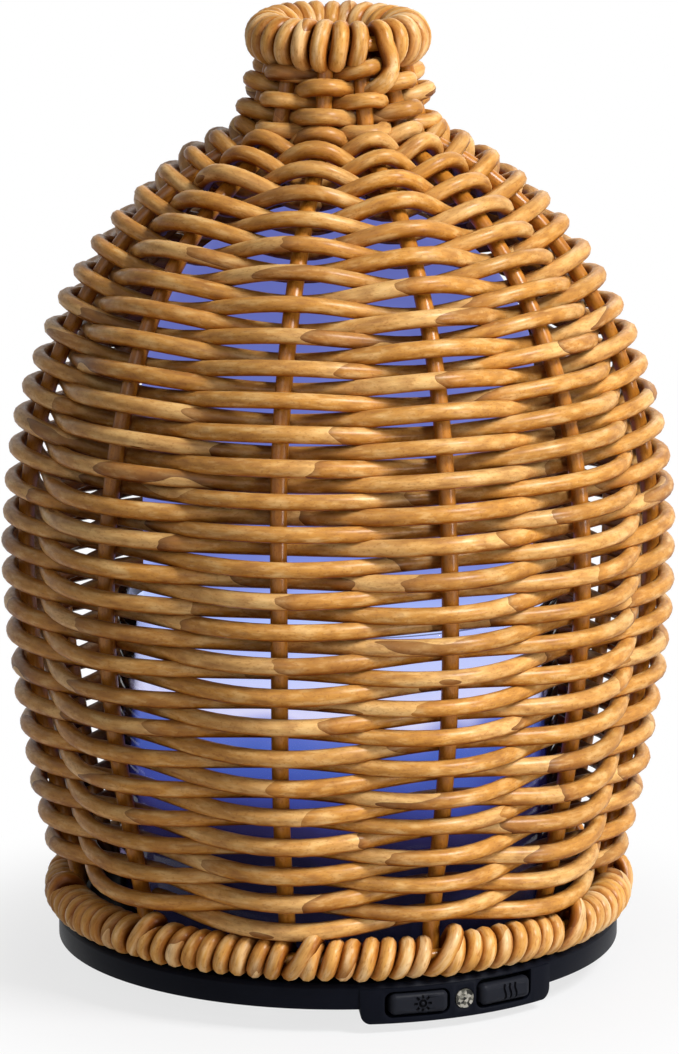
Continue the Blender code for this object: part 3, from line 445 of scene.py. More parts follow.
cut_end, tree, shader = new_material("cut_end")
place = tree.nodes.new("ShaderNodeTexCoord").outputs["Object"]
pores = ramp(tree, noise(tree, place, PORE_SCALE, 1.0),
             [(0.35, (0.36, 0.21, 0.09)), (0.6, (0.72, 0.55, 0.32))])
tree.links.new(pores, shader.inputs["Base Color"])
shader.inputs["Roughness"].default_value = 0.8
print("rattan finishes ready")

# %% [markdown]
# ## The shape of the woven wall
# Eleven stakes run from the foot to the neck along one line: out to the belly, round over the shoulder and
# up into a short flared neck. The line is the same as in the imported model, slightly tighter at the neck,
# where the full thickness of the strands takes more room.

# %% Wall line
FOOT_WALL, BELLY_WALL, NECK_WALL = 0.0514, 0.0606, 0.0122
NECK_FLARE, NECK_FLARE_HEIGHT = 0.0030, 0.011
WALL_FOOT_Z, BELLY_Z, WALL_TOP_Z = 0.0189, 0.084, 0.1773
DOME_RISE = 0.080
NECK_BLEND = 6


def wall_radius(z):
    """Radius of the stakes' middle line at a height."""
    if z < BELLY_Z:
        share = (z - WALL_FOOT_Z) / (BELLY_Z - WALL_FOOT_Z)
        return FOOT_WALL + (BELLY_WALL - FOOT_WALL) * math.sin(share * math.pi / 2)
    lift = min(1.0, (z - BELLY_Z) / DOME_RISE)
    dome = BELLY_WALL * math.sqrt(1.0 - lift * lift)
    neck = NECK_WALL + NECK_FLARE * min(1.0, max(0.0, WALL_TOP_Z - z) / NECK_FLARE_HEIGHT)
    return (dome ** NECK_BLEND + neck ** NECK_BLEND) ** (1.0 / NECK_BLEND)


WALL_STEPS = 800
wall_points = [Vector((wall_radius(z), z)) for z in
               [WALL_FOOT_Z + (WALL_TOP_Z - WALL_FOOT_Z) * i / WALL_STEPS for i in range(WALL_STEPS + 1)]]
wall_marks = [0.0]
for before, after in zip(wall_points, wall_points[1:]):
    wall_marks.append(wall_marks[-1] + (after - before).length)
wall_length = wall_marks[-1]


def on_wall(distance):
    """The point (radius, z) at a distance up the wall, and the direction square to the wall there."""
    distance = min(max(distance, 0.0), wall_length)
    low, high = 0, WALL_STEPS
    while high - low > 1:
        middle = (low + high) // 2
        low, high = (middle, high) if wall_marks[middle] <= distance else (low, middle)
    share = (distance - wall_marks[low]) / (wall_marks[high] - wall_marks[low])
    slope = (wall_points[high] - wall_points[low]).normalized()
    return wall_points[low].lerp(wall_points[high], share), Vector((slope.y, -slope.x))


print("wall length", round(wall_length / MM, 1), "mm")

# %% [markdown]
# ## A rod of rattan
# Every rod is a round section that follows a line, so it is drawn as a curve with a bevel and then made a
# mesh. Blender gives such a mesh a UV map whose u runs from 0 to 1. Multiplying u by the rod's length keeps
# the grain the same size on every rod, and a different start for each rod keeps them from looking alike.

# %% Rod helper
luck = random.Random(7)
DECIMETRE = 0.1
GRAIN_STARTS = 40                             # decimetres over which the rods' grain can start
CREVICE_END, CREVICE_FADE = 7.0 * MM, 1.5 * MM   # further from the ring, a strand lies in the open


def select_only(piece):
    bpy.ops.object.select_all(action="DESELECT")
    piece.select_set(True)
    bpy.context.view_layer.objects.active = piece


def finish_piece(piece, body, node, slot, *materials):
    """Give a piece its finishes and its body, and hide the imported node that it stands for."""
    piece.data.materials.clear()
    for material in materials:
        piece.data.materials.append(material)
    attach(piece, body)
    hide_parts(node)


def round_line(name, points, radius, roundness, widths=None, cyclic=False):
    """A round section drawn along a line of points, as a mesh."""
    curve = bpy.data.curves.new(name, "CURVE")
    curve.dimensions = "3D"
    curve.bevel_depth = radius
    curve.bevel_resolution = roundness
    curve.use_fill_caps = not cyclic
    spline = curve.splines.new("POLY")
    spline.points.add(len(points) - 1)
    for index, point in enumerate(points):
        spline.points[index].co = (*point, 1)
        spline.points[index].radius = widths[index] if widths else 1.0
    spline.use_cyclic_u = cyclic
    spline.use_smooth = True
    piece = bpy.data.objects.new(name, curve)
    scene.collection.objects.link(piece)
    select_only(piece)
    bpy.ops.object.convert(target="MESH")
    return piece


def add_rod(name, points, radius, widths=None, cyclic=False, roundness=3):
    """A rod of rattan with its grain in the UV map and its cut ends in a second finish."""
    piece = round_line(name, points, radius, roundness, widths, cyclic)
    length = sum((after - before).length for before, after in zip(points, points[1:]))
    layer = piece.data.uv_layers["UVMap"]
    grain = [0.0] * (2 * len(layer.data))
    layer.data.foreach_get("uv", grain)
    start = luck.uniform(0, GRAIN_STARTS)
    grain[0::2] = [start + u * length / DECIMETRE for u in grain[0::2]]
    layer.data.foreach_set("uv", grain)
    for face in piece.data.polygons:
        if len(face.vertices) > 4:
            face.material_index = 1
            face.use_smooth = False
    return piece


def note_crevices(piece, radius, z):
    """Write on each point of a winding how far it turns away from the open, towards the turns beside it."""
    mesh = piece.data
    # this value later darkens the skin as painted shade between the turns
    note = mesh.attributes.new("crevice", "FLOAT", "POINT")
    for vertex in mesh.vertices:
        ring = Vector((vertex.co.x, vertex.co.y, 0)).normalized() * radius + Vector((0, 0, z))
        away = vertex.co - ring
        wound = min(1.0, max(0.0, (CREVICE_END - away.length) / CREVICE_FADE))
        note.data[vertex.index].value = wound * (1 - max(0.0, vertex.normal.dot(away.normalized())))


# %% [markdown]
# ## Stakes
# The stakes are the upright rods that the weave is built on. They start inside the wrapped foot and end
# inside the wrapped neck. They aren't quite evenly spaced, because they were set by hand.

# %% Stakes
STAKE_ANGLES = (-107.0, -71.0, -36.0, -5.5, 23.5, 58.5, 90.9, 123.3, 155.7, 188.2, 220.6)
STAKE_RADIUS = 1.6 * MM
STAKE_POINTS = 64
SWAY, SWAY_STEP, SWAY_SHIFT = 0.25, 0.21, 1.7     # degrees to either side, and how the sway runs on
FOOT_RING_Z = 14.2 * MM
NECK_RING_Z = 180.8 * MM

for number, angle in enumerate(STAKE_ANGLES):
    line = [polar(wall_points[0].x, angle, FOOT_RING_Z)]
    for index in range(STAKE_POINTS):
        spot = on_wall(wall_length * index / (STAKE_POINTS - 1))[0]
        sway = SWAY * math.sin(index * SWAY_STEP + number * SWAY_SHIFT)
        line.append(polar(spot.x, angle + sway, spot.y))
    line.append(polar(wall_points[-1].x, angle, NECK_RING_Z))
    stake = add_rod(f"stake_rod_{number + 1:02d}", line, STAKE_RADIUS)
    finish_piece(stake, "cover", f"stake_{number + 1:02d}", "stake_rattan", stake_rattan, cut_end)
print(len(STAKE_ANGLES), "stakes")

# %% [markdown]
# ## Weaving strands
# One long spiral climbs the wall, outside one stake and inside the next. The count of stakes is odd, so
# each row falls on the other side of the row below. Between two stakes a springy rod takes a smooth wave,
# which a cosine draws well. Small random steps in height and thickness keep the rows from looking machine
# made.

# %% Weaving strands
STRAND_COUNT = 16
STRAND_RADIUS = 1.64 * MM
FIRST_ROW = 0.9 * MM
LAST_ROW = wall_length - 2.4 * MM
CLOSING_SHARE, CLOSING = 0.8, 0.35            # where the rows begin to close up, and how much
LAST_CLIMB = 0.8 * MM                         # how much the last strand rises from one stake to the next
LIFT_CHANGE, REACH_CHANGE = 0.22 * MM, 0.12 * MM  # random steps at a stake, up the wall and out from it
WIDTH_CHANGE, WIDTH_STEP, WIDTH_PHASES = 0.05, 0.031, 6   # share of the thickness, and how it runs on
STEPS_PER_CROSSING = 9
STAKE_COUNT = len(STAKE_ANGLES)
ROWS, LAST_CROSSINGS, SPARE_CROSSINGS = 59, 3, 4
CROSSINGS = ROWS * STAKE_COUNT + LAST_CROSSINGS

lifts = [luck.gauss(0, LIFT_CHANGE) for _ in range(CROSSINGS + SPARE_CROSSINGS)]
spreads = [luck.gauss(0, REACH_CHANGE) for _ in range(CROSSINGS + SPARE_CROSSINGS)]


def stake_angle(crossing):
    row, stake = divmod(crossing, STAKE_COUNT)
    return STAKE_ANGLES[stake] + 360.0 * row


def weave_point(crossing, share):
    """A point of the spiral, a share of the way from one crossing to the next."""
    ease = share * share * (3 - 2 * share)
    angle = stake_angle(crossing) + (stake_angle(crossing + 1) - stake_angle(crossing)) * share
    done = (crossing + share) / CROSSINGS
    done = (done - CLOSING * max(0.0, done - CLOSING_SHARE) ** 2) / (1 - CLOSING * (1 - CLOSING_SHARE) ** 2)
    distance = FIRST_ROW + (LAST_ROW - FIRST_ROW) * done
    distance += lifts[crossing] + (lifts[crossing + 1] - lifts[crossing]) * ease
    spot, out = on_wall(distance)
    side = -1 if crossing % 2 else 1
    reach = STAKE_RADIUS + STRAND_RADIUS
    reach += spreads[crossing] + (spreads[crossing + 1] - spreads[crossing]) * ease
    spot = spot + out * side * reach * math.cos(math.pi * share)
    return polar(spot.x, angle, spot.y)


PER_STRAND = CROSSINGS // STRAND_COUNT // 2 * 2
for number in range(STRAND_COUNT):
    begin = number * PER_STRAND + 1
    end = begin + PER_STRAND if number < STRAND_COUNT - 1 else CROSSINGS - 1
    line = [weave_point(crossing, step / STEPS_PER_CROSSING)
            for crossing in range(begin, end) for step in range(STEPS_PER_CROSSING)]
    line.append(weave_point(end, 0.0))
    if number == STRAND_COUNT - 1:
        for step in range(1, 2 * STEPS_PER_CROSSING):
            past, part = divmod(step, STEPS_PER_CROSSING)
            climb = LAST_CLIMB * ((step - 1) / STEPS_PER_CROSSING) ** 2
            line.append(weave_point(end + past, part / STEPS_PER_CROSSING) + Vector((0, 0, climb)))
    phase = luck.uniform(0, WIDTH_PHASES)
    widths = [1.0 + WIDTH_CHANGE * math.sin(index * WIDTH_STEP + phase) for index in range(len(line))]
    strand = add_rod(f"strand_{number + 1:02d}", line, STRAND_RADIUS, widths)
    finish_piece(strand, "cover", f"weaver_{number + 1:02d}", "strand_rattan", strand_rattan, cut_end)
    print(strand.name, len(strand.data.polygons), "faces")

# %% [markdown]
# ## Wrapped foot and neck
# At the foot and at the neck the stakes are tied to a round rod by one strand that is wound over it again
# and again. At each stake of the foot one turn is larger and leans over, because it has to climb across the
# stake.

# %% Foot ring
FOOT_RING_RADIUS = 53.6 * MM
FOOT_TURNS = 102
FOOT_WRAP_RADIUS = 1.66 * MM
FOOT_WRAP_CIRCLE = 2.5 * MM
FOOT_CORE_RADIUS = 1.2 * MM
FOOT_START = 180.0                            # the winding starts at the back
FOOT_LEAN, FOOT_LEAN_CHANGE, CLIMB_LEAN = 0.12, 0.07, 1.0   # in turns
FOOT_SWELL = 0.08 * MM
CLIMB_OUT, CLIMB_UP = 0.7 * MM, 1.9 * MM
TURN_POINTS = 24
LOOSE_POINTS = 2                              # by which a winding stops short of a full turn
RING_POINTS = 120


def ring_line(radius, z):
    return [polar(radius, 360.0 * i / RING_POINTS, z) for i in range(RING_POINTS)]


foot_core = add_rod("foot_rod", ring_line(FOOT_RING_RADIUS, FOOT_RING_Z), FOOT_CORE_RADIUS, cyclic=True)
finish_piece(foot_core, "cover", "foot_ring_core", "stake_rattan", stake_rattan)

pitch = 360.0 / FOOT_TURNS
stake_turns = {round((angle - FOOT_START) % 360.0 / pitch) for angle in STAKE_ANGLES}
leans = [luck.gauss(FOOT_LEAN, FOOT_LEAN_CHANGE) for _ in range(FOOT_TURNS + 1)]
swells = [luck.gauss(0, FOOT_SWELL) for _ in range(FOOT_TURNS + 1)]
line = []
for index in range(FOOT_TURNS * TURN_POINTS - LOOSE_POINTS):
    turn_number, step = divmod(index, TURN_POINTS)
    curl = 2 * math.pi * step / TURN_POINTS - math.pi / 2
    height_share = (1 + math.sin(curl)) / 2
    climbs = turn_number in stake_turns
    lean = CLIMB_LEAN if climbs else leans[turn_number]
    angle = FOOT_START + pitch * (index / TURN_POINTS + lean * height_share)
    circle = FOOT_WRAP_CIRCLE + swells[turn_number]
    out = circle * math.cos(curl)
    up = circle * math.sin(curl)
    if climbs:
        out += CLIMB_OUT * height_share
        up += CLIMB_UP * height_share ** 2
    line.append(polar(FOOT_RING_RADIUS + out, angle, FOOT_RING_Z + up))
foot_wrap = add_rod("foot_wrap", line, FOOT_WRAP_RADIUS)
note_crevices(foot_wrap, FOOT_RING_RADIUS, FOOT_RING_Z)
finish_piece(foot_wrap, "cover", "foot_ring_wrap", "strand_rattan", wrap_rattan, cut_end)
print("foot wrap", len(line), "points")

# %% [markdown]
# The neck is small, so its turns crowd on the inner side, and they slip over each other there. The winding
# starts at the front: the strand comes out of the weave, climbs across the ring and then goes round and
# round. Where it ends, beside its start, the turns leave a gap and the round rod shows.

# %% Neck ring
NECK_RING_RADIUS = 13.3 * MM
NECK_TURNS = 26
NECK_START, NECK_PITCH = 7.7, 13.65           # degrees, of the first turn and from one turn to the next
NECK_CORE_RADIUS = 1.5 * MM
NECK_WRAP_RADIUS = 1.74 * MM
NECK_WRAP_OUT, NECK_WRAP_UP = 2.8 * MM, 3.25 * MM
NECK_LEAN, NECK_LEAN_CHANGE, NECK_SWELL = 0.25, 0.2, 0.15 * MM
INNER_SLIP = 0.9 * MM                         # how far every second turn slips over its neighbours inside
NECK_TILT = 0.3 * MM                          # the rim stands a little higher at the back
LEAD_STEPS = 4
LEAD_IN = ((-9.0, 11.0, 170.6), (-3.0, 13.4, 171.4), (2.0, 15.9, 172.7), (7.0, 17.1, 174.4),
           (10.2, 17.0, 176.6), (10.2, 16.7, 178.6))   # angle, radius and height, in degrees and millimetres

neck_core = add_rod("neck_rod", ring_line(NECK_RING_RADIUS, NECK_RING_Z), NECK_CORE_RADIUS, cyclic=True)
finish_piece(neck_core, "cover", "neck_ring_core", "stake_rattan", stake_rattan)


def smooth_line(points, steps):
    """More points on a smooth line through a few, each stretch steered by its neighbours."""
    ends = [points[0]] + list(points) + [points[-1]]
    line = []
    for before, start, finish, after in zip(ends, ends[1:], ends[2:], ends[3:]):
        first = start + (finish - before) / 6
        second = finish - (after - start) / 6
        line += interpolate_bezier(start, first, second, finish, steps + 1)[:-1]
    return line + [points[-1]]


leans = [luck.gauss(NECK_LEAN, NECK_LEAN_CHANGE) for _ in range(NECK_TURNS + 1)]
swells = [luck.gauss(0, NECK_SWELL) for _ in range(NECK_TURNS + 1)]
lead_in = [polar(radius * MM, angle, z * MM) for angle, radius, z in LEAD_IN]
turns = []
for index in range(TURN_POINTS // 2 + 1, NECK_TURNS * TURN_POINTS - LOOSE_POINTS):
    turn_number = index // TURN_POINTS
    share = index / TURN_POINTS - turn_number
    curl = 2 * math.pi * share - math.pi
    lean = leans[turn_number] + (leans[turn_number + 1] - leans[turn_number]) * share
    swell = swells[turn_number] + (swells[turn_number + 1] - swells[turn_number]) * share
    # the strand moves on to the next turn only on the inner side of the ring
    step = max(0.0, abs(share - 0.5) * 4 - 1) * (1 if share > 0.5 else -1)
    sway = step / 2 + lean * 0.5 * math.sin(curl) * math.cos(curl / 2)
    angle = NECK_START + NECK_PITCH * (turn_number + sway)
    out = (NECK_WRAP_OUT + swell) * math.cos(curl)
    up = (NECK_WRAP_UP + swell) * math.sin(curl)
    if turn_number % 2 and math.cos(curl) < 0:
        out += INNER_SLIP * math.cos(curl)
    tilt = -NECK_TILT * math.cos(math.radians(angle - VIEW_TURN))
    turns.append(polar(NECK_RING_RADIUS + out, angle, NECK_RING_Z + tilt + up))
line = smooth_line(lead_in + turns[:2], LEAD_STEPS)[:-LEAD_STEPS - 1] + turns
neck_wrap = add_rod("neck_wrap", line, NECK_WRAP_RADIUS, roundness=4)
note_crevices(neck_wrap, NECK_RING_RADIUS, NECK_RING_Z)
finish_piece(neck_wrap, "cover", "neck_ring_wrap", "strand_rattan", wrap_rattan, cut_end)
print("neck wrap", len(line), "points")

# %% [markdown]
# ## Plastics
# Moulded plastic is never quite even: the mould leaves a fine texture, and handling polishes it in patches.
# One group gives both, as a height and a change in roughness, on Object coordinates.

# %% Moulded plastic group
PLASTIC_SHEEN = 0.04
FINE_GRAIN, COARSE_GRAIN = 0.03 * MM, 0.08 * MM
PATCH_SCALE, GRAIN_SCALE = 90.0, 4200.0

moulded, moulded_in, moulded_out = new_group(
    "moulded_plastic",
    [("Place", "NodeSocketVector"), ("Dark", "NodeSocketColor"), ("Light", "NodeSocketColor"),
     ("Roughness", "NodeSocketFloat"), ("Polish", "NodeSocketFloat")],
    [("Color", "NodeSocketColor"), ("Roughness", "NodeSocketFloat"), ("Height", "NodeSocketFloat")])
patches = noise(moulded, moulded_in.outputs["Place"], PATCH_SCALE, 3.0)
grain = noise(moulded, moulded_in.outputs["Place"], GRAIN_SCALE, 2.0)
colour = mix_colours(moulded, patches, moulded_in.outputs["Dark"], moulded_in.outputs["Light"])
moulded.links.new(colour, moulded_out.inputs["Color"])
uneven = math_node(moulded, "SUBTRACT", patches, 0.5)
polish = math_node(moulded, "MULTIPLY", uneven, moulded_in.outputs["Polish"])
rough = math_node(moulded, "ADD", moulded_in.outputs["Roughness"], polish)
moulded.links.new(rough, moulded_out.inputs["Roughness"])
moulded.links.new(grain, moulded_out.inputs["Height"])


def plastic(name, dark, light, roughness, polish, grain_depth=FINE_GRAIN):
    """A moulded finish from the shared group."""
    material, tree, shader = new_material(name)
    group = tree.nodes.new("ShaderNodeGroup")
    group.node_tree = moulded
    tree.links.new(tree.nodes.new("ShaderNodeTexCoord").outputs["Object"], group.inputs["Place"])
    group.inputs["Dark"].default_value = (*dark, 1)
    group.inputs["Light"].default_value = (*light, 1)
    group.inputs["Roughness"].default_value = roughness
    group.inputs["Polish"].default_value = polish
    tree.links.new(group.outputs["Color"], shader.inputs["Base Color"])
    tree.links.new(group.outputs["Roughness"], shader.inputs["Roughness"])
    add_bump(tree, shader, group.outputs["Height"], grain_depth)
    shader.inputs["Specular IOR Level"].default_value = PLASTIC_SHEEN
    return material


black_plastic = plastic("black_plastic", (0.0025, 0.003, 0.006), (0.005, 0.006, 0.010), 0.40, 0.16)
button_plastic = plastic("button_plastic", (0.009, 0.010, 0.014), (0.015, 0.016, 0.021), 0.34, 0.16)
# painted shade: the grooves of the signs are darker than the face, as shade falls in them
painted_shade_groove = plastic("painted_shade_groove", (0.001, 0.001, 0.002), (0.002, 0.002, 0.003), 0.7, 0.1)
rubber = plastic("rubber", (0.012, 0.012, 0.012), (0.022, 0.021, 0.020), 0.8, 0.1, COARSE_GRAIN)
print("plastics ready")

# %% [markdown]
# The tank and the lid are milky and lit from below, so they glow. There is no lamp inside them: the glow is
# painted light, an emission that is strongest just above the lamps and turns to a deeper blue with height, so
# its colour comes from a ramp over the height of the surface.

# %% Lit plastic
GLOW_TOP = 0.16                               # height at which the ramp of the glow ends
CLOUD_SCALE, CLOUD_CHANGE = 38.0, 0.018       # the glow's bands wander up and down
MILK_SCALE = 60.0
MILKY_ROUGHNESS, MILKY_SHEEN = 0.34, 0.1


def lit_plastic(name):
    material, tree, shader = new_material(name)
    place = tree.nodes.new("ShaderNodeTexCoord").outputs["Object"]
    split = tree.nodes.new("ShaderNodeSeparateXYZ")
    tree.links.new(place, split.inputs[0])
    uneven = math_node(tree, "SUBTRACT", noise(tree, place, CLOUD_SCALE, 2.0), 0.5)
    cloud = math_node(tree, "MULTIPLY", uneven, CLOUD_CHANGE)
    level = math_node(tree, "DIVIDE", math_node(tree, "ADD", split.outputs["Z"], cloud), GLOW_TOP)
    # painted glow: an emission colour by height stands in for the light of the lamps below
    glow = ramp(tree, level, [(0.08, (0.002, 0.002, 0.004)), (0.18, (0.005, 0.004, 0.012)),
                              (0.22, (0.022, 0.018, 0.07)), (0.26, (0.05, 0.075, 0.32)),
                              (0.31, (0.075, 0.14, 0.48)), (0.335, (0.14, 0.20, 0.58)),
                              (0.355, (0.80, 0.80, 0.95)), (0.40, (0.64, 0.72, 0.98)),
                              (0.45, (0.50, 0.60, 0.95)), (0.47, (0.42, 0.52, 0.97)),
                              (0.51, (0.25, 0.31, 0.75)), (0.56, (0.156, 0.194, 0.575)),
                              (0.80, (0.125, 0.15, 0.462)), (1.0, (0.112, 0.131, 0.425))])
    tree.links.new(glow, shader.inputs["Emission Color"])
    shader.inputs["Emission Strength"].default_value = 1.0
    milk = noise(tree, place, MILK_SCALE, 2.0)
    body = mix_colours(tree, milk, (0.05, 0.055, 0.12, 1), (0.08, 0.085, 0.17, 1))
    tree.links.new(body, shader.inputs["Base Color"])
    shader.inputs["Roughness"].default_value = MILKY_ROUGHNESS
    shader.inputs["Specular IOR Level"].default_value = MILKY_SHEEN
    return material


milky_lit = lit_plastic("milky_lit")
print("lit plastic ready")

# %% [markdown]
# The sleeve round the tank is clear. At its sides one looks along the wall, through much more plastic, so
# it is dark there. Layer Weight tells how far a surface turns away, and gives that tint without a slow
# volume. A low index keeps the sleeve from mirroring the white room between the strands.

# %% Clear plastic
CLEAR_INDEX, CLEAR_SHEEN = 1.2, 0.06
CLOUDED_SCALE = 120.0

clear_plastic, tree, shader = new_material("clear_plastic")
rim = tree.nodes.new("ShaderNodeLayerWeight")
rim.inputs["Blend"].default_value = 0.5
tint = ramp(tree, rim.outputs["Facing"], [(0.57, (0.875, 0.862, 1.0)), (0.63, (0.05, 0.04, 0.09)),
                                          (0.9, (0.03, 0.022, 0.06)), (1.0, (0.25, 0.15, 0.5))])
tree.links.new(tint, shader.inputs["Base Color"])
shader.inputs["Transmission Weight"].default_value = 1.0
shader.inputs["IOR"].default_value = CLEAR_INDEX
shader.inputs["Specular IOR Level"].default_value = CLEAR_SHEEN
place = tree.nodes.new("ShaderNodeTexCoord").outputs["Object"]
clouded = ramp(tree, noise(tree, place, CLOUDED_SCALE, 3.0), [(0.3, 0.015), (0.75, 0.07)])
tree.links.new(clouded, shader.inputs["Roughness"])
print("clear plastic ready")

# %% [markdown]
# ## Turned pieces
# The base, the tank, the sleeve and the lid are round. Each starts as the outline of one half, drawn point
# by point by extruding a single vertex, and is spun round the axis. A bevel then breaks the sharp edges, as
# a mould does.

# %% Turning helper
MERGE_DISTANCE = 0.002 * MM


def apply_place(piece):
    select_only(piece)
    bpy.ops.object.transform_apply(location=True, rotation=True, scale=True)


def turn_outline(name, outline, steps):
    """Spin a closed outline of (radius, z) points round the axis."""
    bpy.ops.object.select_all(action="DESELECT")
    bpy.ops.mesh.primitive_plane_add(size=MM, location=(outline[0][0], 0, outline[0][1]))
    piece = bpy.context.object
    piece.name = name
    bpy.ops.object.mode_set(mode="EDIT")
    bpy.ops.mesh.select_all(action="SELECT")
    bpy.ops.mesh.merge(type="CENTER")
    for before, after in zip(outline, outline[1:] + outline[:1]):
        move = (after[0] - before[0], 0, after[1] - before[1])
        bpy.ops.mesh.extrude_vertices_move(TRANSFORM_OT_translate={"value": move})
    bpy.ops.mesh.select_all(action="SELECT")
    bpy.ops.mesh.spin(steps=steps, angle=2 * math.pi, center=(0, 0, 0), axis=(0, 0, 1))
    bpy.ops.mesh.select_all(action="SELECT")
    bpy.ops.mesh.remove_doubles(threshold=MERGE_DISTANCE)
    bpy.ops.mesh.normals_make_consistent(inside=False)
    bpy.ops.object.mode_set(mode="OBJECT")
    apply_place(piece)
    return piece


def apply_modifiers(piece):
    select_only(piece)
    for modifier in list(piece.modifiers):
        bpy.ops.object.modifier_apply(modifier=modifier.name)


def soften(piece, width, segments=2, angle=32):
    """Break the sharp edges and shade the rest smooth."""
    bevel = piece.modifiers.new("soften", "BEVEL")
    bevel.width = width
    bevel.segments = segments
    bevel.limit_method = "ANGLE"
    bevel.angle_limit = math.radians(angle)
    apply_modifiers(piece)
    select_only(piece)
    bpy.ops.object.shade_smooth_by_angle(angle=math.radians(angle))


# %% Tank
ROUND_STEPS = 96
TANK_RADIUS, TANK_WALL = 40.6 * MM, 2.0 * MM
TANK_FOOT, TANK_TOP = 12.8 * MM, 68.0 * MM
TANK_FLOOR_UNDER, TANK_FLOOR_TOP, WELL_TOP, WELL_RADIUS = 42.0 * MM, 46.0 * MM, 44.0 * MM, 7.6 * MM

tank_inside = TANK_RADIUS - TANK_WALL
tank = turn_outline("tank_shell", [
    (TANK_RADIUS, TANK_TOP), (TANK_RADIUS, TANK_FOOT), (tank_inside, TANK_FOOT),
    (tank_inside, TANK_FLOOR_UNDER), (WELL_RADIUS, TANK_FLOOR_UNDER), (WELL_RADIUS, WELL_TOP),
    (tank_inside, TANK_FLOOR_TOP), (tank_inside, TANK_TOP)], ROUND_STEPS)
print("tank", len(tank.data.polygons), "faces")

# %% [markdown]
# An air pipe stands in the tank. It is a cylinder that is joined to the floor, and its bore is cut through
# both. The clear sleeve stands round the tank.

# %% Air pipe and sleeve
PIPE_CIRCLE, PIPE_RADIUS, PIPE_BORE = 26.0 * MM, 4.0 * MM, 2.8 * MM
PIPE_FOOT, PIPE_TOP = 43.0 * MM, 72.0 * MM
BORE_BELOW, BORE_ABOVE = 3.0 * MM, 1.0 * MM   # how far the cut reaches past the pipe
SLEEVE_RADIUS, SLEEVE_WALL, SLEEVE_TOP = 42.9 * MM, 2.0 * MM, 73.0 * MM
MOULD_EDGE, SLEEVE_EDGE = 0.35 * MM, 0.5 * MM


def add_cylinder(name, radius, low, high, x=0.0, y=0.0, sides=40):
    bpy.ops.object.select_all(action="DESELECT")
    bpy.ops.mesh.primitive_cylinder_add(vertices=sides, radius=radius, depth=high - low,
                                        location=(x, y, (low + high) / 2))
    piece = bpy.context.object
    piece.name = name
    apply_place(piece)
    return piece


def combine(piece, tool, operation):
    """Join a tool to a piece, or cut it out, and drop the tool."""
    modifier = piece.modifiers.new("combine", "BOOLEAN")
    modifier.operation = operation
    modifier.object = tool
    modifier.solver = "EXACT"
    modifier.material_mode = "TRANSFER"
    apply_modifiers(piece)
    bpy.data.objects.remove(tool)


combine(tank, add_cylinder("pipe", PIPE_RADIUS, PIPE_FOOT, PIPE_TOP, PIPE_CIRCLE), "UNION")
bore = add_cylinder("bore", PIPE_BORE, PIPE_FOOT - BORE_BELOW, PIPE_TOP + BORE_ABOVE, PIPE_CIRCLE)
combine(tank, bore, "DIFFERENCE")
soften(tank, MOULD_EDGE)
finish_piece(tank, "base", "water_tank", "milky_plastic", milky_lit)

sleeve = turn_outline("sleeve_shell", [
    (SLEEVE_RADIUS, SLEEVE_TOP), (SLEEVE_RADIUS, TANK_FOOT), (SLEEVE_RADIUS - SLEEVE_WALL, TANK_FOOT),
    (SLEEVE_RADIUS - SLEEVE_WALL, SLEEVE_TOP)], ROUND_STEPS)
soften(sleeve, SLEEVE_EDGE, segments=3)
finish_piece(sleeve, "base", "clear_sleeve", "clear_plastic", clear_plastic)
print("pipe and sleeve ready")

# %% [markdown]
# The lid is a milky dome with a spout for the mist. A ledge rests on the rim of the tank, and a skirt below
# it keeps the lid in place. Its outline runs down the outer side and up the inner one.

# %% Lid
LID_RADIUS, LID_WALL = 37.8 * MM, 1.8 * MM
LID_BOTTOM, LID_LEDGE, LID_LEDGE_TOP = 62.0 * MM, 68.3 * MM, 69.9 * MM
LID_SHOULDER, LID_DOME = 116.0 * MM, 33.0 * MM
SPOUT_RADIUS, SPOUT_WALL, SPOUT_TOP = 6.5 * MM, 1.5 * MM, 156.0 * MM
DOME_STEPS = 14


def dome(radius, rise, spout):
    """Points of a quarter ellipse from the lid's wall up to its spout."""
    end = math.acos(spout / radius)
    return [(radius * math.cos(end * i / DOME_STEPS), LID_SHOULDER + rise * math.sin(end * i / DOME_STEPS))
            for i in range(DOME_STEPS + 1)]


lid_inside = LID_RADIUS - LID_WALL
spout_bore = SPOUT_RADIUS - SPOUT_WALL
lid_outline = [(SPOUT_RADIUS, SPOUT_TOP)] + dome(LID_RADIUS, LID_DOME, SPOUT_RADIUS)[::-1]
lid_outline += [(LID_RADIUS, LID_LEDGE_TOP), (TANK_RADIUS, LID_LEDGE_TOP), (TANK_RADIUS, LID_LEDGE),
                (LID_RADIUS, LID_LEDGE), (LID_RADIUS, LID_BOTTOM), (lid_inside, LID_BOTTOM)]
lid_outline += dome(lid_inside, LID_DOME - LID_WALL, spout_bore) + [(spout_bore, SPOUT_TOP)]
lid = turn_outline("lid_shell", lid_outline, ROUND_STEPS)
soften(lid, MOULD_EDGE)
finish_piece(lid, "lid", "inner_lid", "milky_plastic", milky_lit)
print("lid", len(lid.data.polygons), "faces")

# %% [markdown]
# ## Base
# The base is a flat black ring with a raised step that centres the cover. A control tab hangs from its
# front edge. The ring is turned, the tab is a short sector spun from one rectangle, and the two are joined.

# %% Base ring
BASE_RADIUS, BAND_INNER, BAND_BOTTOM = 54.9 * MM, 51.5 * MM, 4.9 * MM
FLANGE_TOP, FLANGE_UNDER, FLANGE_EDGE = 9.7 * MM, 7.7 * MM, 0.8 * MM
REGISTER_RADIUS, REGISTER_INNER = 48.85 * MM, 46.85 * MM
REGISTER_TOP, REGISTER_UNDER = 12.5 * MM, 10.5 * MM
EYE_RADIUS = 36.5 * MM
BASE_STEPS = 180

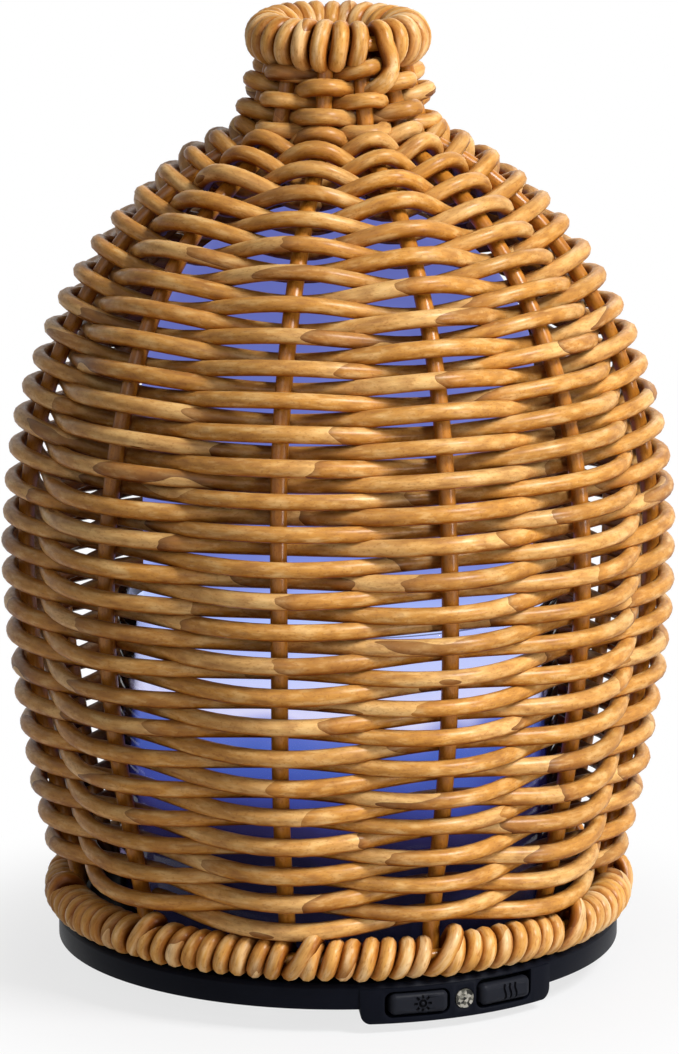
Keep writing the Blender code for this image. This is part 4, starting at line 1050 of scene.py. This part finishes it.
base = turn_outline("base_shell", [
    (REGISTER_RADIUS, REGISTER_TOP), (REGISTER_RADIUS, FLANGE_TOP), (BASE_RADIUS - FLANGE_EDGE, FLANGE_TOP),
    (BASE_RADIUS, FLANGE_TOP - FLANGE_EDGE), (BASE_RADIUS, BAND_BOTTOM), (BAND_INNER, BAND_BOTTOM),
    (BAND_INNER, FLANGE_UNDER), (REGISTER_INNER, FLANGE_UNDER), (REGISTER_INNER, REGISTER_UNDER),
    (EYE_RADIUS, REGISTER_UNDER), (EYE_RADIUS, REGISTER_TOP)], BASE_STEPS)
print("base ring", len(base.data.polygons), "faces")

# %% Control tab
TAB_HALF_ANGLE, TAB_BOTTOM, TAB_INNER, TAB_WALL = 21.2, 2.0 * MM, 45.5 * MM, 1.7 * MM
TAB_OUTER = 55.2 * MM
TAB_CORNER = 2.2 * MM
TAB_STEPS, CORNER_STEPS = 20, 8
TAB_TOP = 8.8 * MM
TAB_END_ANGLE = 2.0                           # degrees of wall at each end of the chamber
SAME_PLACE = 0.05 * MM
CHAMBER_BOTTOM, CHAMBER_TOP = 3.0 * MM, 8.45 * MM


def add_sector(name, inner, outer, half_angle, low, high, corner=0.0):
    """A stretch of a flat ring, spun from a rectangle, with its two lower end edges rounded."""
    bpy.ops.object.select_all(action="DESELECT")
    bpy.ops.mesh.primitive_plane_add(size=1, rotation=(math.pi / 2, 0, 0))
    piece = bpy.context.object
    piece.name = name
    piece.scale = (outer - inner, high - low, 1)
    piece.location = ((inner + outer) / 2, 0, (low + high) / 2)
    apply_place(piece)
    piece.rotation_euler = (0, 0, math.radians(half_angle - 90))
    apply_place(piece)
    bpy.ops.object.mode_set(mode="EDIT")
    bpy.ops.mesh.select_all(action="SELECT")
    bpy.ops.mesh.spin(steps=TAB_STEPS, angle=math.radians(2 * half_angle), center=(0, 0, 0), axis=(0, 0, 1))
    bpy.ops.mesh.select_all(action="SELECT")
    bpy.ops.mesh.remove_doubles(threshold=MERGE_DISTANCE)
    bpy.ops.mesh.normals_make_consistent(inside=False)
    bpy.ops.mesh.select_all(action="DESELECT")
    bpy.ops.object.mode_set(mode="OBJECT")
    if corner:
        ends = [polar(radius, side * half_angle, low) for radius in (inner, outer) for side in (-1, 1)]
        for edge in piece.data.edges:
            feet = [piece.data.vertices[i].co for i in edge.vertices]
            edge.select = all(min((foot - end).length for end in ends) < SAME_PLACE for foot in feet)
        bpy.ops.object.mode_set(mode="EDIT")
        bpy.ops.mesh.bevel(offset=corner, segments=CORNER_STEPS, affect="EDGES")
        bpy.ops.object.mode_set(mode="OBJECT")
    return piece


tab = add_sector("tab", TAB_INNER, TAB_OUTER, TAB_HALF_ANGLE, TAB_BOTTOM, TAB_TOP, TAB_CORNER)
chamber = add_sector("chamber", TAB_INNER + TAB_WALL, BASE_RADIUS - TAB_WALL, TAB_HALF_ANGLE - TAB_END_ANGLE,
                     CHAMBER_BOTTOM, CHAMBER_TOP)
combine(base, tab, "UNION")
combine(base, chamber, "DIFFERENCE")
print("tab joined,", len(base.data.polygons), "faces")

# %% [markdown]
# The tab has a window for each button and a round hole for the lamp lens. The windows are blocks with
# rounded corners, turned to face outwards. The right one is square at its far upper corner.

# %% Windows
BUTTON_ANGLE, BUTTON_Z = 9.5, 5.6 * MM
BUTTON_WIDTH, BUTTON_HEIGHT, BUTTON_CORNER = 11.4 * MM, 4.2 * MM, 1.2 * MM
WINDOW_GAP = 0.45 * MM
WINDOW_LEFT = 0.5 * MM                        # the openings reach further past the left end of a button
MIST_ABOVE = 0.6 * MM                         # and the right one further above it
SQUARE_CORNER, SQUARE_EDGE = 2.0 * MM, 0.1 * MM
CUT_DEPTH = 6.0 * MM


def add_block(name, width, depth, height, corner, segments=6):
    """A block about the origin, with the four edges that run front to back rounded."""
    bpy.ops.object.select_all(action="DESELECT")
    bpy.ops.mesh.primitive_cube_add(size=1)
    piece = bpy.context.object
    piece.name = name
    piece.scale = (width, depth, height)
    apply_place(piece)
    for edge in piece.data.edges:
        first, second = (piece.data.vertices[i].co for i in edge.vertices)
        edge.select = abs(first.y - second.y) > depth / 2
    bpy.ops.object.mode_set(mode="EDIT")
    bpy.ops.mesh.select_mode(type="EDGE")
    bpy.ops.mesh.bevel(offset=corner, segments=segments, affect="EDGES")
    bpy.ops.object.mode_set(mode="OBJECT")
    return piece


def face_outwards(piece, radius, angle, z):
    piece.location = polar(radius, angle, z)
    piece.rotation_euler = (0, 0, math.radians(angle))
    apply_place(piece)
    return piece


for side, above in ((-1, 0.0), (1, MIST_ABOVE)):
    window = add_block("window", BUTTON_WIDTH + 2 * WINDOW_GAP + WINDOW_LEFT, CUT_DEPTH,
                       BUTTON_HEIGHT + 2 * WINDOW_GAP + above, BUTTON_CORNER + WINDOW_GAP)
    window.location = (-WINDOW_LEFT / 2, 0, above / 2)
    apply_place(window)
    combine(base, face_outwards(window, BASE_RADIUS, side * BUTTON_ANGLE, BUTTON_Z), "DIFFERENCE")
square = add_block("square", SQUARE_CORNER, CUT_DEPTH, SQUARE_CORNER, SQUARE_EDGE)
square.location = (BUTTON_WIDTH / 2 + WINDOW_GAP - SQUARE_CORNER / 2, 0,
                   BUTTON_HEIGHT / 2 + WINDOW_GAP + MIST_ABOVE - SQUARE_CORNER / 2)
apply_place(square)
combine(base, face_outwards(square, BASE_RADIUS, BUTTON_ANGLE, BUTTON_Z), "DIFFERENCE")
print("windows cut")

# %% Round holes
LENS_RADIUS = 1.7 * MM
JACK_RADIUS, JACK_Z = 1.75 * MM, 7.3 * MM
HOLE_GAP, HOLE_REACH = 0.3 * MM, 5.0 * MM
BASE_EDGE, BASE_EDGE_ANGLE = 0.3 * MM, 38

for name, radius, y, z in (("lens_hole", LENS_RADIUS + HOLE_GAP, -BASE_RADIUS, BUTTON_Z),
                           ("jack_hole", JACK_RADIUS + HOLE_GAP, BASE_RADIUS, JACK_Z)):
    hole = add_cylinder(name, radius, -HOLE_REACH, HOLE_REACH)
    hole.rotation_euler = (math.pi / 2, 0, 0)
    hole.location = (0, y, z)
    apply_place(hole)
    combine(base, hole, "DIFFERENCE")
soften(base, BASE_EDGE, angle=BASE_EDGE_ANGLE)
finish_piece(base, "base", "base_housing", "black_plastic", black_plastic)
print("base", len(base.data.polygons), "faces")

# %% [markdown]
# ## Buttons
# Each button is a round-edged block that stands a little proud of the tab. Its sign is cut into the face: a
# sun for the light and three rising waves for the mist. A sign is drawn with thin rods, which are cut out
# of the button and leave a groove.

# %% Button blocks
BUTTON_FACE = 55.6 * MM
BUTTON_BACK = 51.6 * MM
BUTTON_EDGE, BUTTON_EDGE_ANGLE = 0.7 * MM, 60
GROOVE_RADIUS = 0.28 * MM
SUN_RADIUS, SUN_STEPS = 0.6 * MM, 16
RAY_START, RAY_END, RAY_COUNT = 1.0 * MM, 1.75 * MM, 8
WAVE_SPACING, WAVE_SWING, WAVE_HEIGHT, WAVE_STEPS = 1.25 * MM, 0.2 * MM, 3.0 * MM, 12
SUN_X, WAVES_X = 0.6 * MM, 0.8 * MM           # how far the signs sit from the middle of the buttons


def add_groove(name, points, cyclic=False):
    """A thin rod that lies on the face of a block, for a groove to be cut with."""
    return round_line(name, [(x, 0, z) for x, z in points], GROOVE_RADIUS, roundness=1, cyclic=cyclic)


def on_circle(radius, share):
    turn = 2 * math.pi * share
    return radius * math.cos(turn), radius * math.sin(turn)


def sun_sign():
    """A ring and its rays."""
    ring = [on_circle(SUN_RADIUS, i / SUN_STEPS) for i in range(SUN_STEPS)]
    rods = [add_groove("ring", ring, cyclic=True)]
    for i in range(RAY_COUNT):
        ray = [on_circle(radius, i / RAY_COUNT) for radius in (RAY_START, RAY_END)]
        rods.append(add_groove("ray", ray))
    return rods


def wave_sign():
    """Three waves side by side."""
    shares = [i / WAVE_STEPS for i in range(WAVE_STEPS + 1)]
    rods = []
    for x in (-WAVE_SPACING, 0.0, WAVE_SPACING):
        wave = [(x + WAVE_SWING * math.sin(2 * math.pi * share), (share - 0.5) * WAVE_HEIGHT)
                for share in shares]
        rods.append(add_groove("wave", wave))
    return rods


def add_button(name, angle, sign, sign_x, body, node):
    """A button with a softened rim and its sign cut into the face, with painted shade in the grooves."""
    depth = BUTTON_FACE - BUTTON_BACK
    block = add_block(name, BUTTON_WIDTH, depth, BUTTON_HEIGHT, BUTTON_CORNER, segments=8)
    soften(block, BUTTON_EDGE, segments=5, angle=BUTTON_EDGE_ANGLE)
    face_outwards(block, (BUTTON_FACE + BUTTON_BACK) / 2, angle, BUTTON_Z)
    finish_piece(block, body, node, "black_plastic", button_plastic)
    rods = sign()
    select_only(rods[0])
    for rod in rods:
        rod.select_set(True)
    bpy.ops.object.join()
    mark = bpy.context.object
    for vertex in mark.data.vertices:
        vertex.co.x += sign_x
    # the cut faces of the grooves take this darker painted shade
    mark.data.materials.append(painted_shade_groove)
    face_outwards(mark, BUTTON_FACE, angle, BUTTON_Z)
    combine(block, mark, "DIFFERENCE")
    block.modifiers.new("even_face", "WEIGHTED_NORMAL")
    apply_modifiers(block)
    print(name, len(block.data.polygons), "faces with its sign")


add_button("light_cap", -BUTTON_ANGLE, sun_sign, SUN_X, "light_key", "light_button")
add_button("mist_cap", BUTTON_ANGLE, wave_sign, WAVES_X, "mist_key", "mist_button")

# %% [markdown]
# ## Lamp lens
# Between the buttons sits a small clear lens with flat facets, like a cut stone. It is a short cylinder
# whose front face is inset and pulled forward.

# %% Lens
LENS_GAP, LENS_LENGTH, LENS_SIDES = 0.3 * MM, 2.6 * MM, 14
LENS_BACK = 2.9 * MM                          # how far behind the face of the tab it starts
LENS_SPIN = 0.2                               # radians
RIM_WIDTH, RIM_RISE, CROWN_WIDTH, CROWN_RISE = 0.5 * MM, 0.35 * MM, 0.6 * MM, 0.1 * MM
PAINTED_GLINT_SCALE = 1500.0

lens = add_cylinder("lamp_lens", LENS_RADIUS - LENS_GAP, 0.0, LENS_LENGTH, sides=LENS_SIDES)
for face in lens.data.polygons:
    face.select = face.normal.z > 0.9
bpy.ops.object.mode_set(mode="EDIT")
bpy.ops.mesh.select_mode(type="FACE")
bpy.ops.mesh.inset(thickness=RIM_WIDTH, depth=RIM_RISE)
bpy.ops.mesh.inset(thickness=CROWN_WIDTH, depth=CROWN_RISE)
bpy.ops.object.mode_set(mode="OBJECT")
lens.rotation_euler = (math.pi / 2, LENS_SPIN, 0)
lens.location = (0, -TAB_OUTER + LENS_BACK, BUTTON_Z)
apply_place(lens)

lens_clear, tree, shader = new_material("lens_clear")
place = tree.nodes.new("ShaderNodeTexCoord").outputs["Object"]
# painted reflections: random dark and bright cells stand for the glints of the lens's facets
cells = tree.nodes.new("ShaderNodeTexVoronoi")
cells.inputs["Scale"].default_value = PAINTED_GLINT_SCALE
tree.links.new(place, cells.inputs["Vector"])
painted_glints = ramp(tree, cells.outputs["Color"],
             [(0.2, (0.02, 0.02, 0.018)), (0.5, (0.13, 0.125, 0.10)), (0.8, (0.42, 0.40, 0.35))])
tree.links.new(painted_glints, shader.inputs["Base Color"])
shader.inputs["Metallic"].default_value = 0.75
shader.inputs["Roughness"].default_value = 0.12
finish_piece(lens, "base", "indicator_lens", "clear_plastic", lens_clear)
print("lens", len(lens.data.polygons), "faces")

# %% [markdown]
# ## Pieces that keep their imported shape
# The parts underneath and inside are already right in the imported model. They only need finishes: circuit
# boards with a pattern of tracks, brushed steel screws and a brass disc.

# %% Inner finishes
BRUSH_SCALE, BRUSH_CHANGE = 700.0, 0.2
TRACK_SCALE = 160.0


def metal(name, dark, light, roughness):
    material, tree, shader = new_material(name)
    place = tree.nodes.new("ShaderNodeTexCoord").outputs["Object"]
    brushed = noise(tree, place, BRUSH_SCALE, 3.0)
    tree.links.new(mix_colours(tree, brushed, (*dark, 1), (*light, 1)), shader.inputs["Base Color"])
    uneven = math_node(tree, "MULTIPLY", brushed, BRUSH_CHANGE)
    tree.links.new(math_node(tree, "ADD", roughness, uneven), shader.inputs["Roughness"])
    shader.inputs["Metallic"].default_value = 1.0
    return material


steel = metal("steel", (0.42, 0.43, 0.45), (0.62, 0.62, 0.63), 0.2)
brass = metal("brass", (0.62, 0.43, 0.14), (0.82, 0.62, 0.26), 0.2)

circuit_board, tree, shader = new_material("circuit_board")
place = tree.nodes.new("ShaderNodeTexCoord").outputs["Object"]
tracks = tree.nodes.new("ShaderNodeTexBrick")
tracks.inputs["Scale"].default_value = TRACK_SCALE
tracks.inputs["Color1"].default_value = (0.012, 0.11, 0.045, 1)
tracks.inputs["Color2"].default_value = (0.010, 0.085, 0.035, 1)
tracks.inputs["Mortar"].default_value = (0.03, 0.19, 0.075, 1)
tree.links.new(place, tracks.inputs["Vector"])
tree.links.new(tracks.outputs["Color"], shader.inputs["Base Color"])
tree.links.new(ramp(tree, tracks.outputs["Fac"], [(0.0, 0.45), (1.0, 0.3)]), shader.inputs["Roughness"])

KEPT = {
    "bottom_cover": black_plastic, "fan_frame": black_plastic, "fan_rotor": black_plastic,
    "disc_clamp": black_plastic, "disc_seal": rubber, "mist_disc": brass, "power_jack": steel,
    "main_board": circuit_board, "light_board": circuit_board, "switch_board": circuit_board,
    **{f"foot_{i}": rubber for i in range(1, 5)}, **{f"screw_{i}": steel for i in range(1, 5)},
}
for name, material in KEPT.items():
    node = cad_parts[name]
    node.data.materials.clear()
    node.data.materials.append(material)
print(len(KEPT), "packed pieces finished")
